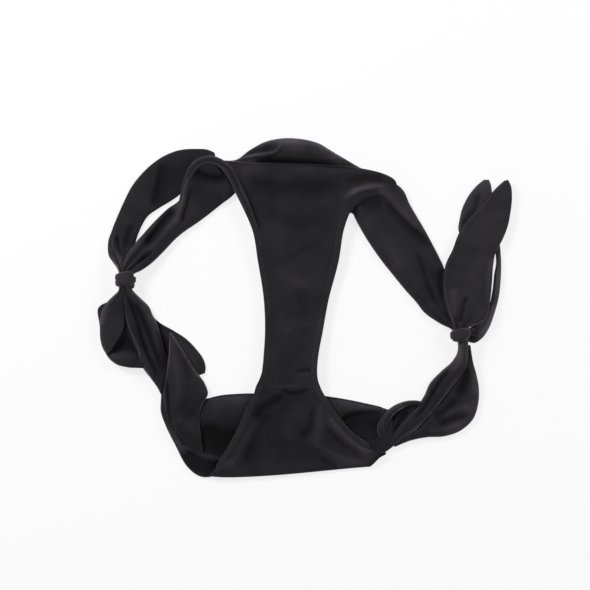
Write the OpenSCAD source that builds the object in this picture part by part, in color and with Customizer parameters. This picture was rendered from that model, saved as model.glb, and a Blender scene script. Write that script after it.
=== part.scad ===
// Tie-side swim brief lying on a flat surface with its crotch strip upwards.
// Two lined panels meet at the crotch seam, each panel is sewn to a doubled waist band,
// and the ends of the bands run out into twisted ties that are knotted at both sides.
// Millimetres, +Z up, the origin on the surface in the middle of the footprint.

/* [Cloth] */
// Thickness of the outer cloth
shell_t = 1.2; // [0.8:0.1:1.4]
// Thickness of the lining cloth
lining_t = 0.8; // [0.5:0.1:1]
// Space left between neighbouring layers and pieces
layer_gap = 0.3; // [0.2:0.05:0.4]

/* [Panels] */
// Length of the crotch seam
crotch_w = 61; // [56:1:66]
// Narrowest width of the strip, just behind the crotch seam
strip_w = 52; // [46:1:56]
// Width of the back panel where it meets its band
back_w = 172; // [164:1:180]
// Length of the back panel from the crotch seam to its band
back_l = 213; // [205:1:220]
// Width of the front panel where it meets its band
front_w = 168; // [160:1:174]
// Length of the front panel from the crotch seam to its band
front_l = 89; // [84:1:94]
// Height of the strip above the surface, at the middle of the outer cloth
strip_rise = 12.5; // [12:0.5:18]
// How far the strip sags towards the surface between the two bands
strip_sag = 4; // [0:0.5:4.5]
// Length of the gusset lining inside the crotch
gusset_l = 120; // [80:5:140]

/* [Bands] */
// Flat width of the back band at its middle
back_band_w = 62; // [56:1:66]
// Height of the back band beside its hump
back_band_h = 5; // [4:0.5:6]
// Height of the hump that the back band makes
hump_h = 13; // [9:0.5:14]
// Flat width of the front band at its middle
front_band_w = 77; // [70:1:80]
// Height of the front band
front_band_h = 5; // [4:0.5:6]

/* [Ties] */
// Flat width of a tie before it is gathered
tie_w = 52; // [46:1:56]
// Height of a bunched tie
tie_h = 13; // [10:0.5:15]
// Depth of the folds in a tie, as a share of its height
fold_depth = 0.34; // [0.1:0.02:0.5]

/* [Knots] */
// Diameter of the bundle that passes through a knot
core_d = 13; // [11:0.5:14]
// Thickness of the cloth wrapped around the bundle
wrap_t = 4.2; // [3:0.2:5]
// Width of one turn of the left knot
left_wrap_w = 8.6; // [7:0.2:10]
// Width of one turn of the right knot
right_wrap_w = 6.4; // [5:0.2:8]
// Distance of the left knot from the middle
left_knot_reach = 179; // [172:1:186]
// Distance of the left knot behind the middle
left_knot_back = 27; // [20:1:34]
// Distance of the right knot from the middle
right_knot_reach = 155; // [148:1:162]
// Distance of the right knot in front of the middle
right_knot_front = 28; // [20:1:34]

/* [Tails] */
// Flat width of a tail
tail_w = 46; // [40:1:50]
// Height of a tail
tail_h = 4.4; // [3:0.2:4.6]
// Length of the left tail that lies beside the back tie
left_upper_tail_l = 146; // [130:1:150]
// Length of the left tail that lies under the front tie
left_lower_tail_l = 111; // [95:1:114]
// Length of the right tail that lies on top
right_near_tail_l = 156; // [135:1:170]
// Length of the right tail that lies on the surface
right_far_tail_l = 158; // [140:1:170]

/* [Edges] */
// Diameter of the binding along the leg and waist edges
binding_d = 4; // [3:0.2:4.4]
// Wall of the binding
binding_wall = 0.7; // [0.4:0.1:1]

/* [Hidden] */

// Colours of the black cloth, the lining, the thread and the elastic
shell_colour = "#29282b";
lining_colour = "#1f1e21";
thread_colour = "#38373b";
elastic_colour = "#4a494d";

// The doubled edge of a band, tie or tail
edge_t = 2 * shell_t;

// Place of the crotch seam, and how the strip leans from it to the back band
seam_y = -76;
seam_x = -17;
back_x = -6;
front_x = -13;
// Slopes of the panels' far edges, as rise over run
back_slope = -0.116;
front_slope = 0.05;
// How much a panel's side edges drop below its middle
panel_crown = 1.2;
// Share of the back panel that hangs free between the bands
sag_reach = 0.8;
// Height of the front panel's far edge above the front band
front_edge_z = edge_t + lining_t + shell_t / 2 + 5 * layer_gap;
// Height of the back panel's far edge above the surface
back_edge_z = strip_rise + 0.5;

// Rows and columns of the cloth solids
panel_columns = 8;
back_rows = 18;
front_rows = 9;
sash_columns = 12;
rows_per_station = 2;
tail_rows = 14;
tail_columns = 8;
tube_sides = 6;

// Small helpers
function unit(v) = v / norm(v);
function left_of(v) = [-v[1], v[0]];
function blend(a, b, t) = a + (b - a) * t;
function rows_of(grid) = len(grid);
function columns_of(grid) = len(grid[0]);

// A smooth curve through a list of points or stations, t from 0 to 1
function smooth_at(list, t) =
    let (
        n = len(list) - 1,
        s = min(max(t, 0), 1) * n,
        i = min(floor(s), n - 1),
        f = s - i,
        before = list[max(i - 1, 0)],
        a = list[i],
        b = list[i + 1],
        after = list[min(i + 2, n)]
    )
    a + 0.5 * f * ((b - before)
        + f * ((2 * before - 5 * a + 4 * b - after) + f * (3 * (a - b) + after - before)));

// A closed solid between two grids of points of the same size
module slab(top, bottom) {
    n = rows_of(top);
    m = columns_of(top);
    points = concat([for (row = top) each row], [for (row = bottom) each row]);
    under = n * m;
    rim = concat(
        [for (j = [0 : m - 1]) j],
        [for (i = [1 : n - 1]) i * m + m - 1],
        [for (j = [m - 2 : -1 : 0]) (n - 1) * m + j],
        [for (i = [n - 2 : -1 : 1]) i * m]
    );
    k = len(rim);
    upper_faces = [for (i = [0 : n - 2], j = [0 : m - 2]) let (p = i * m + j)
        each [[p, p + 1, p + m + 1], [p, p + m + 1, p + m]]];
    lower_faces = [for (face = upper_faces) [face[2] + under, face[1] + under, face[0] + under]];
    side_faces = [for (i = [0 : k - 1]) let (p = rim[i], q = rim[(i + 1) % k])
        each [[q, p, p + under], [q, p + under, q + under]]];
    polyhedron(points, concat(upper_faces, lower_faces, side_faces));
}

// A solid through closed rings of points, with flat ends
module loft(rings) {
    n = len(rings);
    m = len(rings[0]);
    points = [for (ring = rings) each ring];
    walls = [for (i = [0 : n - 2], j = [0 : m - 1])
        let (a = i * m + j, b = i * m + (j + 1) % m)
        each [[a, b, b + m], [a, b + m, a + m]]];
    first = [for (j = [1 : m - 2]) [0, j + 1, j]];
    last = [for (j = [1 : m - 2]) (n - 1) * m * [1, 1, 1] + [0, j, j + 1]];
    polyhedron(points, concat(walls, first, last));
}

// A round tube along a path, with a bore if the inner radius isn't 0
module tube(path, outer_r, inner_r = 0) {
    n = len(path);
    m = tube_sides;
    function ring(i, r) =
        let (
            along = unit(path[min(i + 1, n - 1)] - path[max(i - 1, 0)]),
            aside = unit(cross([0, 0, 1], along)),
            up = cross(along, aside)
        )
        [for (k = [0 : m - 1]) path[i] + r * (cos(360 * k / m) * up + sin(360 * k / m) * aside)];
    outer = [for (i = [0 : n - 1]) ring(i, outer_r)];
    if (inner_r > 0) {
        inner = [for (i = [0 : n - 1]) ring(i, inner_r)];
        points = concat([for (r = outer) each r], [for (r = inner) each r]);
        bore = n * m;
        end = (n - 1) * m;
        outer_faces = [for (i = [0 : n - 2], j = [0 : m - 1])
            let (a = i * m + j, b = i * m + (j + 1) % m)
            each [[a, b + m, b], [a, a + m, b + m]]];
        inner_faces = [for (face = outer_faces) [face[2] + bore, face[1] + bore, face[0] + bore]];
        end_faces = [for (j = [0 : m - 1]) let (q = (j + 1) % m)
            each [
                [j, q, q + bore], [j, q + bore, j + bore],
                [q + end, j + end, j + end + bore], [q + end, j + end + bore, q + end + bore]
            ]];
        polyhedron(points, concat(outer_faces, inner_faces, end_faces));
    } else {
        loft([for (ring = outer) [for (k = [m - 1 : -1 : 0]) ring[k]]]);
    }
}

// The panels

// Width, middle and height of the back panel, f from 0 at the seam to 1 at the band
function back_width(f) =
    strip_w + (back_w - strip_w) * (0.9 * pow(f, 4) + 0.1 * f) + (crotch_w - strip_w) * pow(1 - f, 14);
function back_middle(f) = back_x + (seam_x - back_x) * pow(1 - f, 3);
function back_height(f) =
    blend(strip_rise, back_edge_z, pow(f, 3)) - strip_sag * pow(sin(180 * min(f / sag_reach, 1)), 2);

// The same for the front panel
function front_width(f) = crotch_w + (front_w - crotch_w) * pow(f, 1.2);
function front_middle(f) = blend(seam_x, front_x, f);
function front_height(f) =
    strip_rise + panel_crown * sin(180 * f) - (strip_rise - front_edge_z) * pow(f, 5);

// A point on a panel, u from -1 at the left edge to 1 at the right edge
function back_point(f, u) =
    let (x = u * back_width(f) / 2)
    [back_middle(f) + x, seam_y + f * back_l + back_slope * pow(f, 3) * x,
        back_height(f) - panel_crown * u * u];
function front_point(f, u) =
    let (x = u * front_width(f) / 2)
    [front_middle(f) + x, seam_y - f * front_l + front_slope * pow(f, 2) * x,
        front_height(f) - panel_crown * u * u];

// Rows of points over a panel, from share f0 to share f1 and inset from the side edges
function column_shares(count, inset) = [for (j = [0 : count]) (2 * j / count - 1) * (1 - inset)];
function back_grid(f0, f1, rows, inset = 0) =
    [for (i = [0 : rows]) let (f = blend(f0, f1, i / rows))
        [for (u = column_shares(panel_columns, inset)) back_point(f, u)]];
function front_grid(f0, f1, rows, inset = 0) =
    [for (i = [rows : -1 : 0]) let (f = blend(f0, f1, i / rows))
        [for (u = column_shares(panel_columns, inset)) front_point(f, u)]];

// A grid moved along its own normals
function moved(grid, by) =
    let (n = rows_of(grid) - 1, m = columns_of(grid) - 1)
    [for (i = [0 : n]) [for (j = [0 : m])
        let (
            down = grid[min(i + 1, n)][j] - grid[max(i - 1, 0)][j],
            across = grid[i][min(j + 1, m)] - grid[i][max(j - 1, 0)]
        )
        grid[i][j] + by * unit(cross(across, down))]];

// One layer of cloth in a panel, between two depths below the middle of the outer cloth
module layer(grid, upper, lower) {
    slab(moved(grid, -upper), moved(grid, -lower));
}

// Depths of the layers
shell_lower = shell_t / 2;
lining_upper = shell_lower + layer_gap;
lining_lower = lining_upper + lining_t;
gusset_upper = lining_lower + layer_gap;
gusset_lower = gusset_upper + lining_t;
// Share of a panel left open at the crotch seam
back_seam_share = layer_gap / 2 / back_l;
front_seam_share = layer_gap / 2 / front_l;
// Share of a panel's half width that the lining stays inside the outer cloth
lining_inset = 0.03;
gusset_inset = 0.1;

module back_panel() {
    color(shell_colour) layer(back_grid(back_seam_share, 1, back_rows), -shell_lower, shell_lower);
}

module back_lining() {
    color(lining_colour)
        layer(back_grid(back_seam_share, 1, back_rows, lining_inset), lining_upper, lining_lower);
}

module front_panel() {
    color(shell_colour) layer(front_grid(front_seam_share, 1, front_rows), -shell_lower, shell_lower);
}

module front_lining() {
    color(lining_colour)
        layer(front_grid(front_seam_share, 1, front_rows, lining_inset), lining_upper, lining_lower);
}

// The gusset lining reaches mostly towards the back
module gusset_lining() {
    gusset_back = 0.75;
    gusset_rows = 8;
    front_part = front_grid(0, (1 - gusset_back) * gusset_l / front_l, gusset_rows / 2, gusset_inset);
    back_part = back_grid(0, gusset_back * gusset_l / back_l, gusset_rows, gusset_inset);
    whole = concat([for (i = [0 : gusset_rows / 2 - 1]) front_part[i]], back_part);
    color(lining_colour) layer(whole, gusset_upper, gusset_lower);
}

// A bead of overlocked thread across the crotch seam
module crotch_seam() {
    bead_r = 0.7;
    bead_inset = 0.04;
    lift = [0, 0, shell_lower + bead_r + layer_gap / 2];
    color(thread_colour)
        tube([for (u = column_shares(panel_columns, bead_inset)) back_point(0, u) + lift], bead_r);
}

// The knots

// Turns of a wrap, the space between them, and how far the bundle stands out of it
wrap_turns = 1.5;
turn_gap = 0.5;
bundle_lip = 0.6;
function wrap_pitch(turn_w) = turn_w + turn_gap;
function bundle_half(turn_w) = (wrap_turns * wrap_pitch(turn_w) + turn_w) / 2 + bundle_lip;
knot_r = core_d / 2 + layer_gap + wrap_t;

left_knot = [-left_knot_reach, left_knot_back];
right_knot = [right_knot_reach, -right_knot_front];
left_knot_turn = 90;
right_knot_turn = 112;
function heading(angle) = [cos(angle), sin(angle)];

// A place on the surface beside a knot: so far along its bundle, so far to the right of it
function by_knot(knot, turn, along, aside) =
    knot + along * heading(turn) - aside * left_of(heading(turn));

// Rings of a flat band of cloth wound around a bundle, thinner where its ends are tucked in
wrap_steps = 36;
wrap_start = 200;
wrap_sides = 8;
function wrap_rings(knot, turn, turn_w) =
    let (
        axis = [each heading(turn), 0],
        across = [each -left_of(heading(turn)), 0],
        wind_r = core_d / 2 + layer_gap + wrap_t / 2,
        outline = [for (k = [0 : wrap_sides - 1]) let (a = 360 * k / wrap_sides)
            [sign(cos(a)) * pow(abs(cos(a)), 0.6), sign(sin(a)) * pow(abs(sin(a)), 0.6)]]
    )
    [for (i = [0 : wrap_steps])
        let (
            share = i / wrap_steps,
            angle = wrap_start + 360 * wrap_turns * share,
            out = cos(angle) * across + [0, 0, sin(angle)],
            middle = [knot[0], knot[1], knot_r] + wind_r * out
                + axis * wrap_pitch(turn_w) * wrap_turns * (share - 0.5),
            taper = 0.45 + 0.55 * pow(sin(180 * blend(0.08, 0.92, share)), 0.4)
        )
        [for (p = outline) middle + axis * p[0] * turn_w / 2 + out * p[1] * wrap_t * taper / 2]];

// The least distance between points of rings that are more than half a turn apart
function self_gap(rings) =
    let (apart = ceil(wrap_steps / wrap_turns / 2))
    min([for (i = [0 : len(rings) - 1 - apart], j = [i + apart : len(rings) - 1])
        min([for (p = rings[i], q = rings[j]) norm(p - q)])]);

module knot_wrap(knot, turn, turn_w) {
    rings = wrap_rings(knot, turn, turn_w);
    echo(wrap_gap_to_itself = self_gap(rings));
    color(shell_colour) loft(rings);
}

// The gathered bundle inside a wrap, waisted so that the wrap can't slide off
module knot_core(knot, turn, turn_w) {
    half = bundle_half(turn_w);
    waist = core_d / 2;
    lip = waist + 1;
    bevel = 1;
    color(shell_colour)
        translate([knot[0], knot[1], knot_r])
            rotate([0, 90, turn])
                rotate_extrude($fn = 48)
                    polygon([
                        [0, -half], [lip - bevel, -half], [lip, -half + bevel],
                        [waist, -half + 2 * bevel], [waist, half - 2 * bevel],
                        [lip, half - bevel], [lip - bevel, half], [0, half]
                    ]);
}

// The bands and ties

// A station is [x, y, width, underside, height, lean of the crown].
// A table row is [share of the way, shift to the left as a share of the way,
// width, underside, height, lean].
function stations(from, to, table) =
    [for (row = table)
        let (place = from + (to - from) * row[0] + left_of(to - from) * row[1])
        [place[0], place[1], row[2], row[3], row[4], row[5]]];

// The crown of a bunch across its width, with folds that wander along it
folds = 2.5;
function crown(u, lean, turn) =
    (1 - pow(abs(u), 3)) * (1 + lean * u) / (1 + abs(lean))
        * (1 - fold_depth * (0.5 - 0.5 * cos(180 * folds * u + turn)));

// Upper and lower points of a bunch of cloth at each of a list of places t along its stations
function bunch_rows(list, places, columns, twist, upper) =
    [for (t = places)
        let (
            s = smooth_at(list, t),
            step = 0.004,
            ahead = smooth_at(list, t + step) - smooth_at(list, t - step),
            aside = left_of(unit([ahead[0], ahead[1]])),
            edge = min(edge_t, s[4])
        )
        [for (j = [columns : -1 : 0])
            let (
                u = 2 * j / columns - 1,
                at = [s[0], s[1]] + aside * u * s[2] / 2,
                base = max(0, s[3])
            )
            [at[0], at[1], upper ? base + edge + (s[4] - edge) * crown(u, s[5], twist * t) : base]]];

module bunch(list, places, columns, twist) {
    color(shell_colour)
        slab(bunch_rows(list, places, columns, twist, true), bunch_rows(list, places, columns, twist, false));
}

// Places along a list of stations, from station a to station b, drawn back from a seam at either end
function sash_places(list, a, b, seam_a, seam_b) =
    let (
        last = len(list) - 1,
        count = (b - a) * rows_per_station,
        from = a + (seam_a ? seam_back(list, a) : 0),
        to = b - (seam_b ? seam_back(list, b - 1) : 0)
    )
    [for (i = [0 : count]) blend(from, to, i / count) / last];
function seam_back(list, i) =
    let (step = list[i + 1] - list[i]) 2 * layer_gap / norm([step[0], step[1]]);

// Corners of the panels' far edges, which the bands follow
back_left = back_point(1, -1);
back_right = back_point(1, 1);
front_left = front_point(1, -1);
front_right = front_point(1, 1);

// Where the ties leave the ends of the bands
back_left_seat = [back_left[0] - 0.145 * back_band_w, back_left[1] - 0.45 * back_band_w];
back_right_seat = [back_right[0] - 0.08 * back_band_w, back_right[1] - 0.435 * back_band_w];
front_right_seat = [front_right[0] + 0.17 * front_band_w, front_right[1] + 0.48 * front_band_w];
front_left_seat = [front_left[0] - 0.22 * front_band_w, front_left[1] + 0.44 * front_band_w];
// The free end of the front band, under the left front tie
front_left_end = [front_left[0] - 0.48 * front_band_w, front_left[1] + 0.74 * front_band_w];

// Places where ties and tails leave the knots; a swinging tail keeps further off
mouth_gap = layer_gap + 0.7;
swing_gap = layer_gap + 0.3;
left_mouth = bundle_half(left_wrap_w) + mouth_gap;
right_mouth = bundle_half(right_wrap_w) + mouth_gap;
// How much narrower a neck is than the bundle, and the space between two necks side by side
neck_draw = 4;
neck_space = 2;
neck_w = core_d - neck_draw;
left_back_root = by_knot(left_knot, left_knot_turn, left_mouth, (neck_w + neck_space) / 2);
left_front_root = by_knot(left_knot, left_knot_turn, -left_mouth, 0);
right_back_root = by_knot(right_knot, right_knot_turn, right_mouth, -neck_space);
right_front_root = by_knot(right_knot, right_knot_turn, -right_mouth, 0);
// Heights of the ties' undersides where they leave the knots
beside_z = knot_r - core_d / 4;
below_z = knot_r - core_d / 2 + 0.5;
above_z = knot_r + 0.2;
tie_neck_h = core_d / 2;
tie_over_tail = tail_h + 2 * layer_gap;
thin_tail_h = edge_t + 0.4;
band_over_tail = thin_tail_h + layer_gap;

left_back_table = [
    [0, 0, 0.55 * neck_w, beside_z, tie_neck_h, 0],
    [0.17, 0.009, 0.42 * tie_w, 0.3 * tie_h, 0.8 * tie_h, 0],
    [0.41, 0.014, 0.47 * tie_w, 0.08 * tie_h, 0.8 * tie_h, 0],
    [0.585, 0, 0.52 * tie_w, 0, 0.75 * tie_h, 0.2],
    [0.73, -0.024, 0.6 * tie_w, band_over_tail, 0.6 * tie_h, 0.3],
    [0.876, -0.02, 0.66 * tie_w, band_over_tail, 0.5 * tie_h, 0.4]
];
back_band_table = [
    [0, 0, 0.85 * tie_w, band_over_tail, back_band_h, 0.4],
    [0.114, 0.079, 0.66 * back_band_w, band_over_tail, back_band_h, 0.5],
    [0.263, 0.119, 0.81 * back_band_w, 0.08 * hump_h, 0.62 * hump_h, 0.7],
    [0.48, 0.158, back_band_w, 0, hump_h, 0.8],
    [0.663, 0.141, 0.98 * back_band_w, 0, hump_h, 0.8],
    [0.84, 0.075, 0.81 * back_band_w, 0, 0.7 * hump_h, 0.6]
];
right_back_table = [
    [0, 0, 1.06 * tie_w, 0, 0.55 * tie_h, 0.3],
    [0.12, 0.006, 1.08 * tie_w, 0, 0.6 * tie_h, 0.2],
    [0.31, 0.003, tie_w, 0, 0.6 * tie_h, 0.2],
    [0.495, 0.006, 0.9 * tie_w, 0, 0.6 * tie_h, 0],
    [0.645, 0.02, 0.82 * tie_w, 0, 0.6 * tie_h, -0.2],
    [0.805, 0, 0.56 * tie_w, 0.08 * tie_h, 0.6 * tie_h, -0.3],
    [1, 0, 0.55 * neck_w, below_z, tie_neck_h, 0]
];
left_front_table = [
    [0, 0, neck_w, above_z, tie_neck_h, 0],
    [0.083, -0.037, 0.8 * tie_w, tie_over_tail + 0.23 * tie_h, 0.85 * tie_h, 0],
    [0.224, -0.089, 1.08 * tie_w, tie_over_tail, tie_h, 0],
    [0.42, -0.013, 1.2 * tie_w, tie_over_tail, tie_h, 0],
    [0.56, 0.067, 0.96 * tie_w, tie_over_tail, tie_h, 0.3],
    [0.705, 0.086, 0.87 * tie_w, tie_over_tail, 0.9 * tie_h, 0.3],
    [0.84, 0.021, 0.73 * tie_w, front_band_h + layer_gap, 0.8 * tie_h, 0.2],
    [1, 0, 0.56 * tie_w, front_band_h + layer_gap, 0.5 * tie_h, 0]
];
front_band_table = [
    [0, 0, 0.34 * front_band_w, 0, front_band_h, 0],
    [0.07, -0.041, 0.74 * front_band_w, 0, front_band_h, 0],
    [0.15, -0.069, 0.95 * front_band_w, 0, front_band_h, 0],
    [0.32, -0.064, front_band_w, 0, front_band_h, 0],
    [0.55, -0.046, front_band_w, 0, front_band_h, 0],
    [0.78, -0.018, 0.9 * front_band_w, 0, front_band_h, 0],
    [0.92, -0.023, 0.8 * front_band_w, 0, 1.1 * front_band_h, 0]
];
right_front_table = [
    [0, 0, 0.8 * tie_w, 0, 0.7 * tie_h, 0],
    [0.12, -0.045, 0.73 * tie_w, 0, tie_h, 0],
    [0.213, -0.111, 0.7 * tie_w, 0, 1.1 * tie_h, 0],
    [0.317, -0.189, 0.75 * tie_w, 0, 1.1 * tie_h, 0],
    [0.46, -0.236, 0.96 * tie_w, 0, 1.1 * tie_h, -0.2],
    [0.62, -0.26, tie_w, 0, tie_h, -0.2],
    [0.78, -0.201, 0.77 * tie_w, 0, 0.9 * tie_h, 0],
    [0.91, -0.105, 0.33 * tie_w, 0.23 * tie_h, 0.8 * tie_h, 0],
    [1, 0, 0.7 * neck_w, beside_z, tie_neck_h, 0]
];

back_sash = concat(
    stations(left_back_root, back_left_seat, left_back_table),
    stations(back_left_seat, back_right_seat, back_band_table),
    stations(back_right_seat, right_back_root, right_back_table)
);
back_band_first = len(left_back_table);
back_band_last = back_band_first + len(back_band_table);
front_sash = concat(
    stations(front_left_end, front_right_seat, front_band_table),
    stations(front_right_seat, right_front_root, right_front_table)
);
front_band_last = len(front_band_table);
left_front_stations = stations(left_front_root, front_left_seat, left_front_table);

// Degrees by which the folds of each sash wander from end to end
back_twist = 500;
front_twist = 900;
left_front_twist = 420;

module left_back_tie() {
    bunch(back_sash, sash_places(back_sash, 0, back_band_first, false, true), sash_columns, back_twist);
}

module back_band() {
    places = sash_places(back_sash, back_band_first, back_band_last, true, true);
    bunch(back_sash, places, sash_columns, back_twist);
}

module right_back_tie() {
    last = len(back_sash) - 1;
    bunch(back_sash, sash_places(back_sash, back_band_last, last, true, false), sash_columns, back_twist);
}

module front_band() {
    bunch(front_sash, sash_places(front_sash, 0, front_band_last, false, true), sash_columns, front_twist);
}

module right_front_tie() {
    last = len(front_sash) - 1;
    places = sash_places(front_sash, front_band_last, last, true, false);
    bunch(front_sash, places, sash_columns, front_twist);
}

module left_front_tie() {
    list = left_front_stations;
    bunch(list, sash_places(list, 0, len(list) - 1, false, false), sash_columns, left_front_twist);
}

// The tails

// Where each tail leaves its knot, and the way it points; one points just past the back panel's corner
swing_reach = 4;
left_upper_root = by_knot(left_knot, left_knot_turn, left_mouth, -(neck_w + neck_space) / 2);
left_lower_root = by_knot(left_knot, left_knot_turn, -left_mouth, 0);
near_tail_clear = 1.5;
right_near_root = by_knot(right_knot, right_knot_turn, right_mouth + near_tail_clear, neck_space);
right_far_root = by_knot(right_knot, right_knot_turn, 0, knot_r + swing_gap);
left_upper_aim = back_left + [0, swing_reach, 0];
left_upper_heading = atan2(left_upper_aim[1] - left_upper_root[1], left_upper_aim[0] - left_upper_root[0]);
left_lower_heading = -46;
right_near_heading = 71;
right_far_heading = 85;
on_top_z = knot_r + 0.5;
top_over_tail = tail_h + 2 * layer_gap;

left_upper_table = [
    [0, 0, neck_w, beside_z, 0.85 * tie_neck_h, 0],
    [0.094, 0.07, 0.5 * tail_w, 0.45 * tail_h, tail_h, 0],
    [0.19, 0.105, 0.57 * tail_w, 0, tail_h, 0],
    [0.335, 0.165, 0.6 * tail_w, 0, tail_h, 0],
    [0.46, 0.179, 0.67 * tail_w, 0, tail_h, 0],
    [0.6, 0.152, 0.8 * tail_w, 0, thin_tail_h, 0],
    [0.735, 0.125, 0.86 * tail_w, 0, thin_tail_h, 0],
    [0.85, 0.086, 0.74 * tail_w, 0, thin_tail_h, 0],
    [0.936, 0.035, 0.45 * tail_w, 0, thin_tail_h, 0],
    [1, 0, 0.1 * tail_w, 0, edge_t, 0]
];
left_lower_table = [
    [0, 0, neck_w, below_z, 0.7 * tie_neck_h, 0],
    [0.078, -0.087, 0.8 * tail_w, 0.45 * tail_h, tail_h, 0],
    [0.143, -0.135, 1.1 * tail_w, 0, tail_h, 0],
    [0.327, -0.141, tail_w, 0, tail_h, 0],
    [0.55, -0.105, 0.91 * tail_w, 0, tail_h, 0],
    [0.746, -0.068, 0.82 * tail_w, 0, tail_h, 0],
    [0.905, -0.033, 0.56 * tail_w, 0, tail_h, 0],
    [1, 0, 0.12 * tail_w, 0, edge_t, 0]
];
right_near_table = [
    [0, 0, neck_w, on_top_z, tie_neck_h, 0],
    [0.06, 0.01, 0.38 * tail_w, on_top_z, tie_neck_h, 0],
    [0.13, -0.003, 0.74 * tail_w, on_top_z - 0.45 * tail_h, 1.2 * tail_h, 0],
    [0.22, 0.021, 0.96 * tail_w, 1.6 * top_over_tail, 1.2 * tail_h, 0],
    [0.343, 0.051, 1.04 * tail_w, 1.4 * top_over_tail, 1.2 * tail_h, 0],
    [0.454, 0.065, 0.98 * tail_w, 1.2 * top_over_tail, tail_h, 0],
    [0.586, 0.047, 0.87 * tail_w, top_over_tail, tail_h, 0],
    [0.71, 0.032, 0.78 * tail_w, top_over_tail, tail_h, 0],
    [0.836, 0.021, 0.61 * tail_w, top_over_tail, tail_h, 0],
    [0.938, 0.013, 0.37 * tail_w, top_over_tail, tail_h, 0],
    [1, 0, 0.09 * tail_w, top_over_tail, edge_t, 0]
];
right_far_table = [
    [0, 0, neck_w, 0.45 * tail_h, tail_h, 0],
    [0.047, -0.028, 0.33 * tail_w, 0.23 * tail_h, tail_h, 0],
    [0.17, -0.056, 0.48 * tail_w, 0, tail_h, 0],
    [0.34, -0.023, 0.83 * tail_w, 0, tail_h, 0],
    [0.543, -0.013, 0.78 * tail_w, 0, tail_h, 0],
    [0.698, 0.032, 0.78 * tail_w, 0, tail_h, 0],
    [0.818, 0.042, 0.65 * tail_w, 0, tail_h, 0],
    [0.915, 0.025, 0.43 * tail_w, 0, tail_h, 0],
    [1, 0, 0.09 * tail_w, 0, edge_t, 0]
];

// A tail's root is rounded about its swing axis, so that it can turn beside the knot
root_crowding = 1.6;
tail_twist = 160;
module tail(root, angle, length, table) {
    list = stations(root, root + length * heading(angle), table);
    places = [for (i = [0 : tail_rows]) pow(i / tail_rows, root_crowding)];
    nose = neck_w / 2;
    top = bunch_rows(list, places, tail_columns, tail_twist, true);
    bottom = bunch_rows(list, places, tail_columns, tail_twist, false);
    color(shell_colour) slab(noses(top, places, length, nose), noses(bottom, places, length, nose));
}

// Rows near a root drawn in towards their middle, to the outline of a half circle
function noses(grid, places, length, nose) =
    [for (i = [0 : len(grid) - 1])
        let (
            short = 1 - min(1, places[i] * length / nose),
            share = max(0.3, sqrt(1 - short * short)),
            middle = (grid[i][0] + grid[i][len(grid[i]) - 1]) / 2
        )
        [for (p = grid[i]) [each blend([middle[0], middle[1]], [p[0], p[1]], share), p[2]]]];

module left_upper_tail() tail(left_upper_root, left_upper_heading, left_upper_tail_l, left_upper_table);
module left_lower_tail() tail(left_lower_root, left_lower_heading, left_lower_tail_l, left_lower_table);
module right_near_tail() tail(right_near_root, right_near_heading, right_near_tail_l, right_near_table);
module right_far_tail() tail(right_far_root, right_far_heading, right_far_tail_l, right_far_table);

// The bound edges, each a tube of cloth with an elastic inside

leg_back_end = 0.95;
leg_front_end = 0.88;
leg_back_steps = 15;
leg_front_steps = 7;
binding_r = binding_d / 2;
elastic_r = binding_r - binding_wall - layer_gap / 2;

// A panel's leg edge, from the back band past the crotch seam to the front band; side is -1 or 1
function leg_edge(side) = concat(
    [for (i = [leg_back_steps : -1 : 0]) back_point(leg_back_end * i / leg_back_steps, side)],
    [for (i = [1 : leg_front_steps]) front_point(leg_front_end * i / leg_front_steps, side)]
);
// A path moved sideways, so that the binding lies just outside the edge
function beside(path, by) =
    let (n = len(path) - 1)
    [for (i = [0 : n])
        let (ahead = path[min(i + 1, n)] - path[max(i - 1, 0)])
        path[i] + by * [each left_of(unit([ahead[0], ahead[1]])), 0]];
function leg_path(side) = beside(leg_edge(side), side * (binding_r + layer_gap));

// The waist edge of a band between two shares of its stations
waist_steps = 16;
function waist_path(list, from, to, side) =
    let (
        last = len(list) - 1,
        places = [for (i = [0 : waist_steps]) blend(from, to, i / waist_steps) / last],
        rows = bunch_rows(list, places, 1, 0, false),
        edge = [for (row = rows) [each row[side], row[side][2] + binding_r + layer_gap]]
    )
    beside([for (p = edge) [p[0], p[1], p[3]]], (side == 0 ? 1 : -1) * (binding_r + 2 * layer_gap));

// Where the waist bindings begin and end, in stations from the ends of the bands
waist_inset = 0.4;
front_waist_start = 1.6;
back_waist = waist_path(back_sash, back_band_first + waist_inset, back_band_last - waist_inset, 1);
front_waist = waist_path(front_sash, front_waist_start, front_band_last - waist_inset, 0);

module binding(path) color(shell_colour) tube(path, binding_r, binding_r - binding_wall);
module elastic(path) color(elastic_colour) tube(path, elastic_r);

module left_leg_binding() binding(leg_path(-1));
module right_leg_binding() binding(leg_path(1));
module back_waist_binding() binding(back_waist);
module front_waist_binding() binding(front_waist);
module left_leg_elastic() elastic(leg_path(-1));
module right_leg_elastic() elastic(leg_path(1));
module back_waist_elastic() elastic(back_waist);
module front_waist_elastic() elastic(front_waist);

module left_knot_wrap() knot_wrap(left_knot, left_knot_turn, left_wrap_w);
module left_knot_core() knot_core(left_knot, left_knot_turn, left_wrap_w);
module right_knot_wrap() knot_wrap(right_knot, right_knot_turn, right_wrap_w);
module right_knot_core() knot_core(right_knot, right_knot_turn, right_wrap_w);

back_panel();
back_lining();
front_panel();
front_lining();
gusset_lining();
crotch_seam();
back_band();
front_band();
left_leg_binding();
right_leg_binding();
back_waist_binding();
front_waist_binding();
left_leg_elastic();
right_leg_elastic();
back_waist_elastic();
front_waist_elastic();
left_back_tie();
right_back_tie();
left_front_tie();
right_front_tie();
left_knot_wrap();
left_knot_core();
right_knot_wrap();
right_knot_core();
left_upper_tail();
left_lower_tail();
right_near_tail();
right_far_tail();
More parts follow.
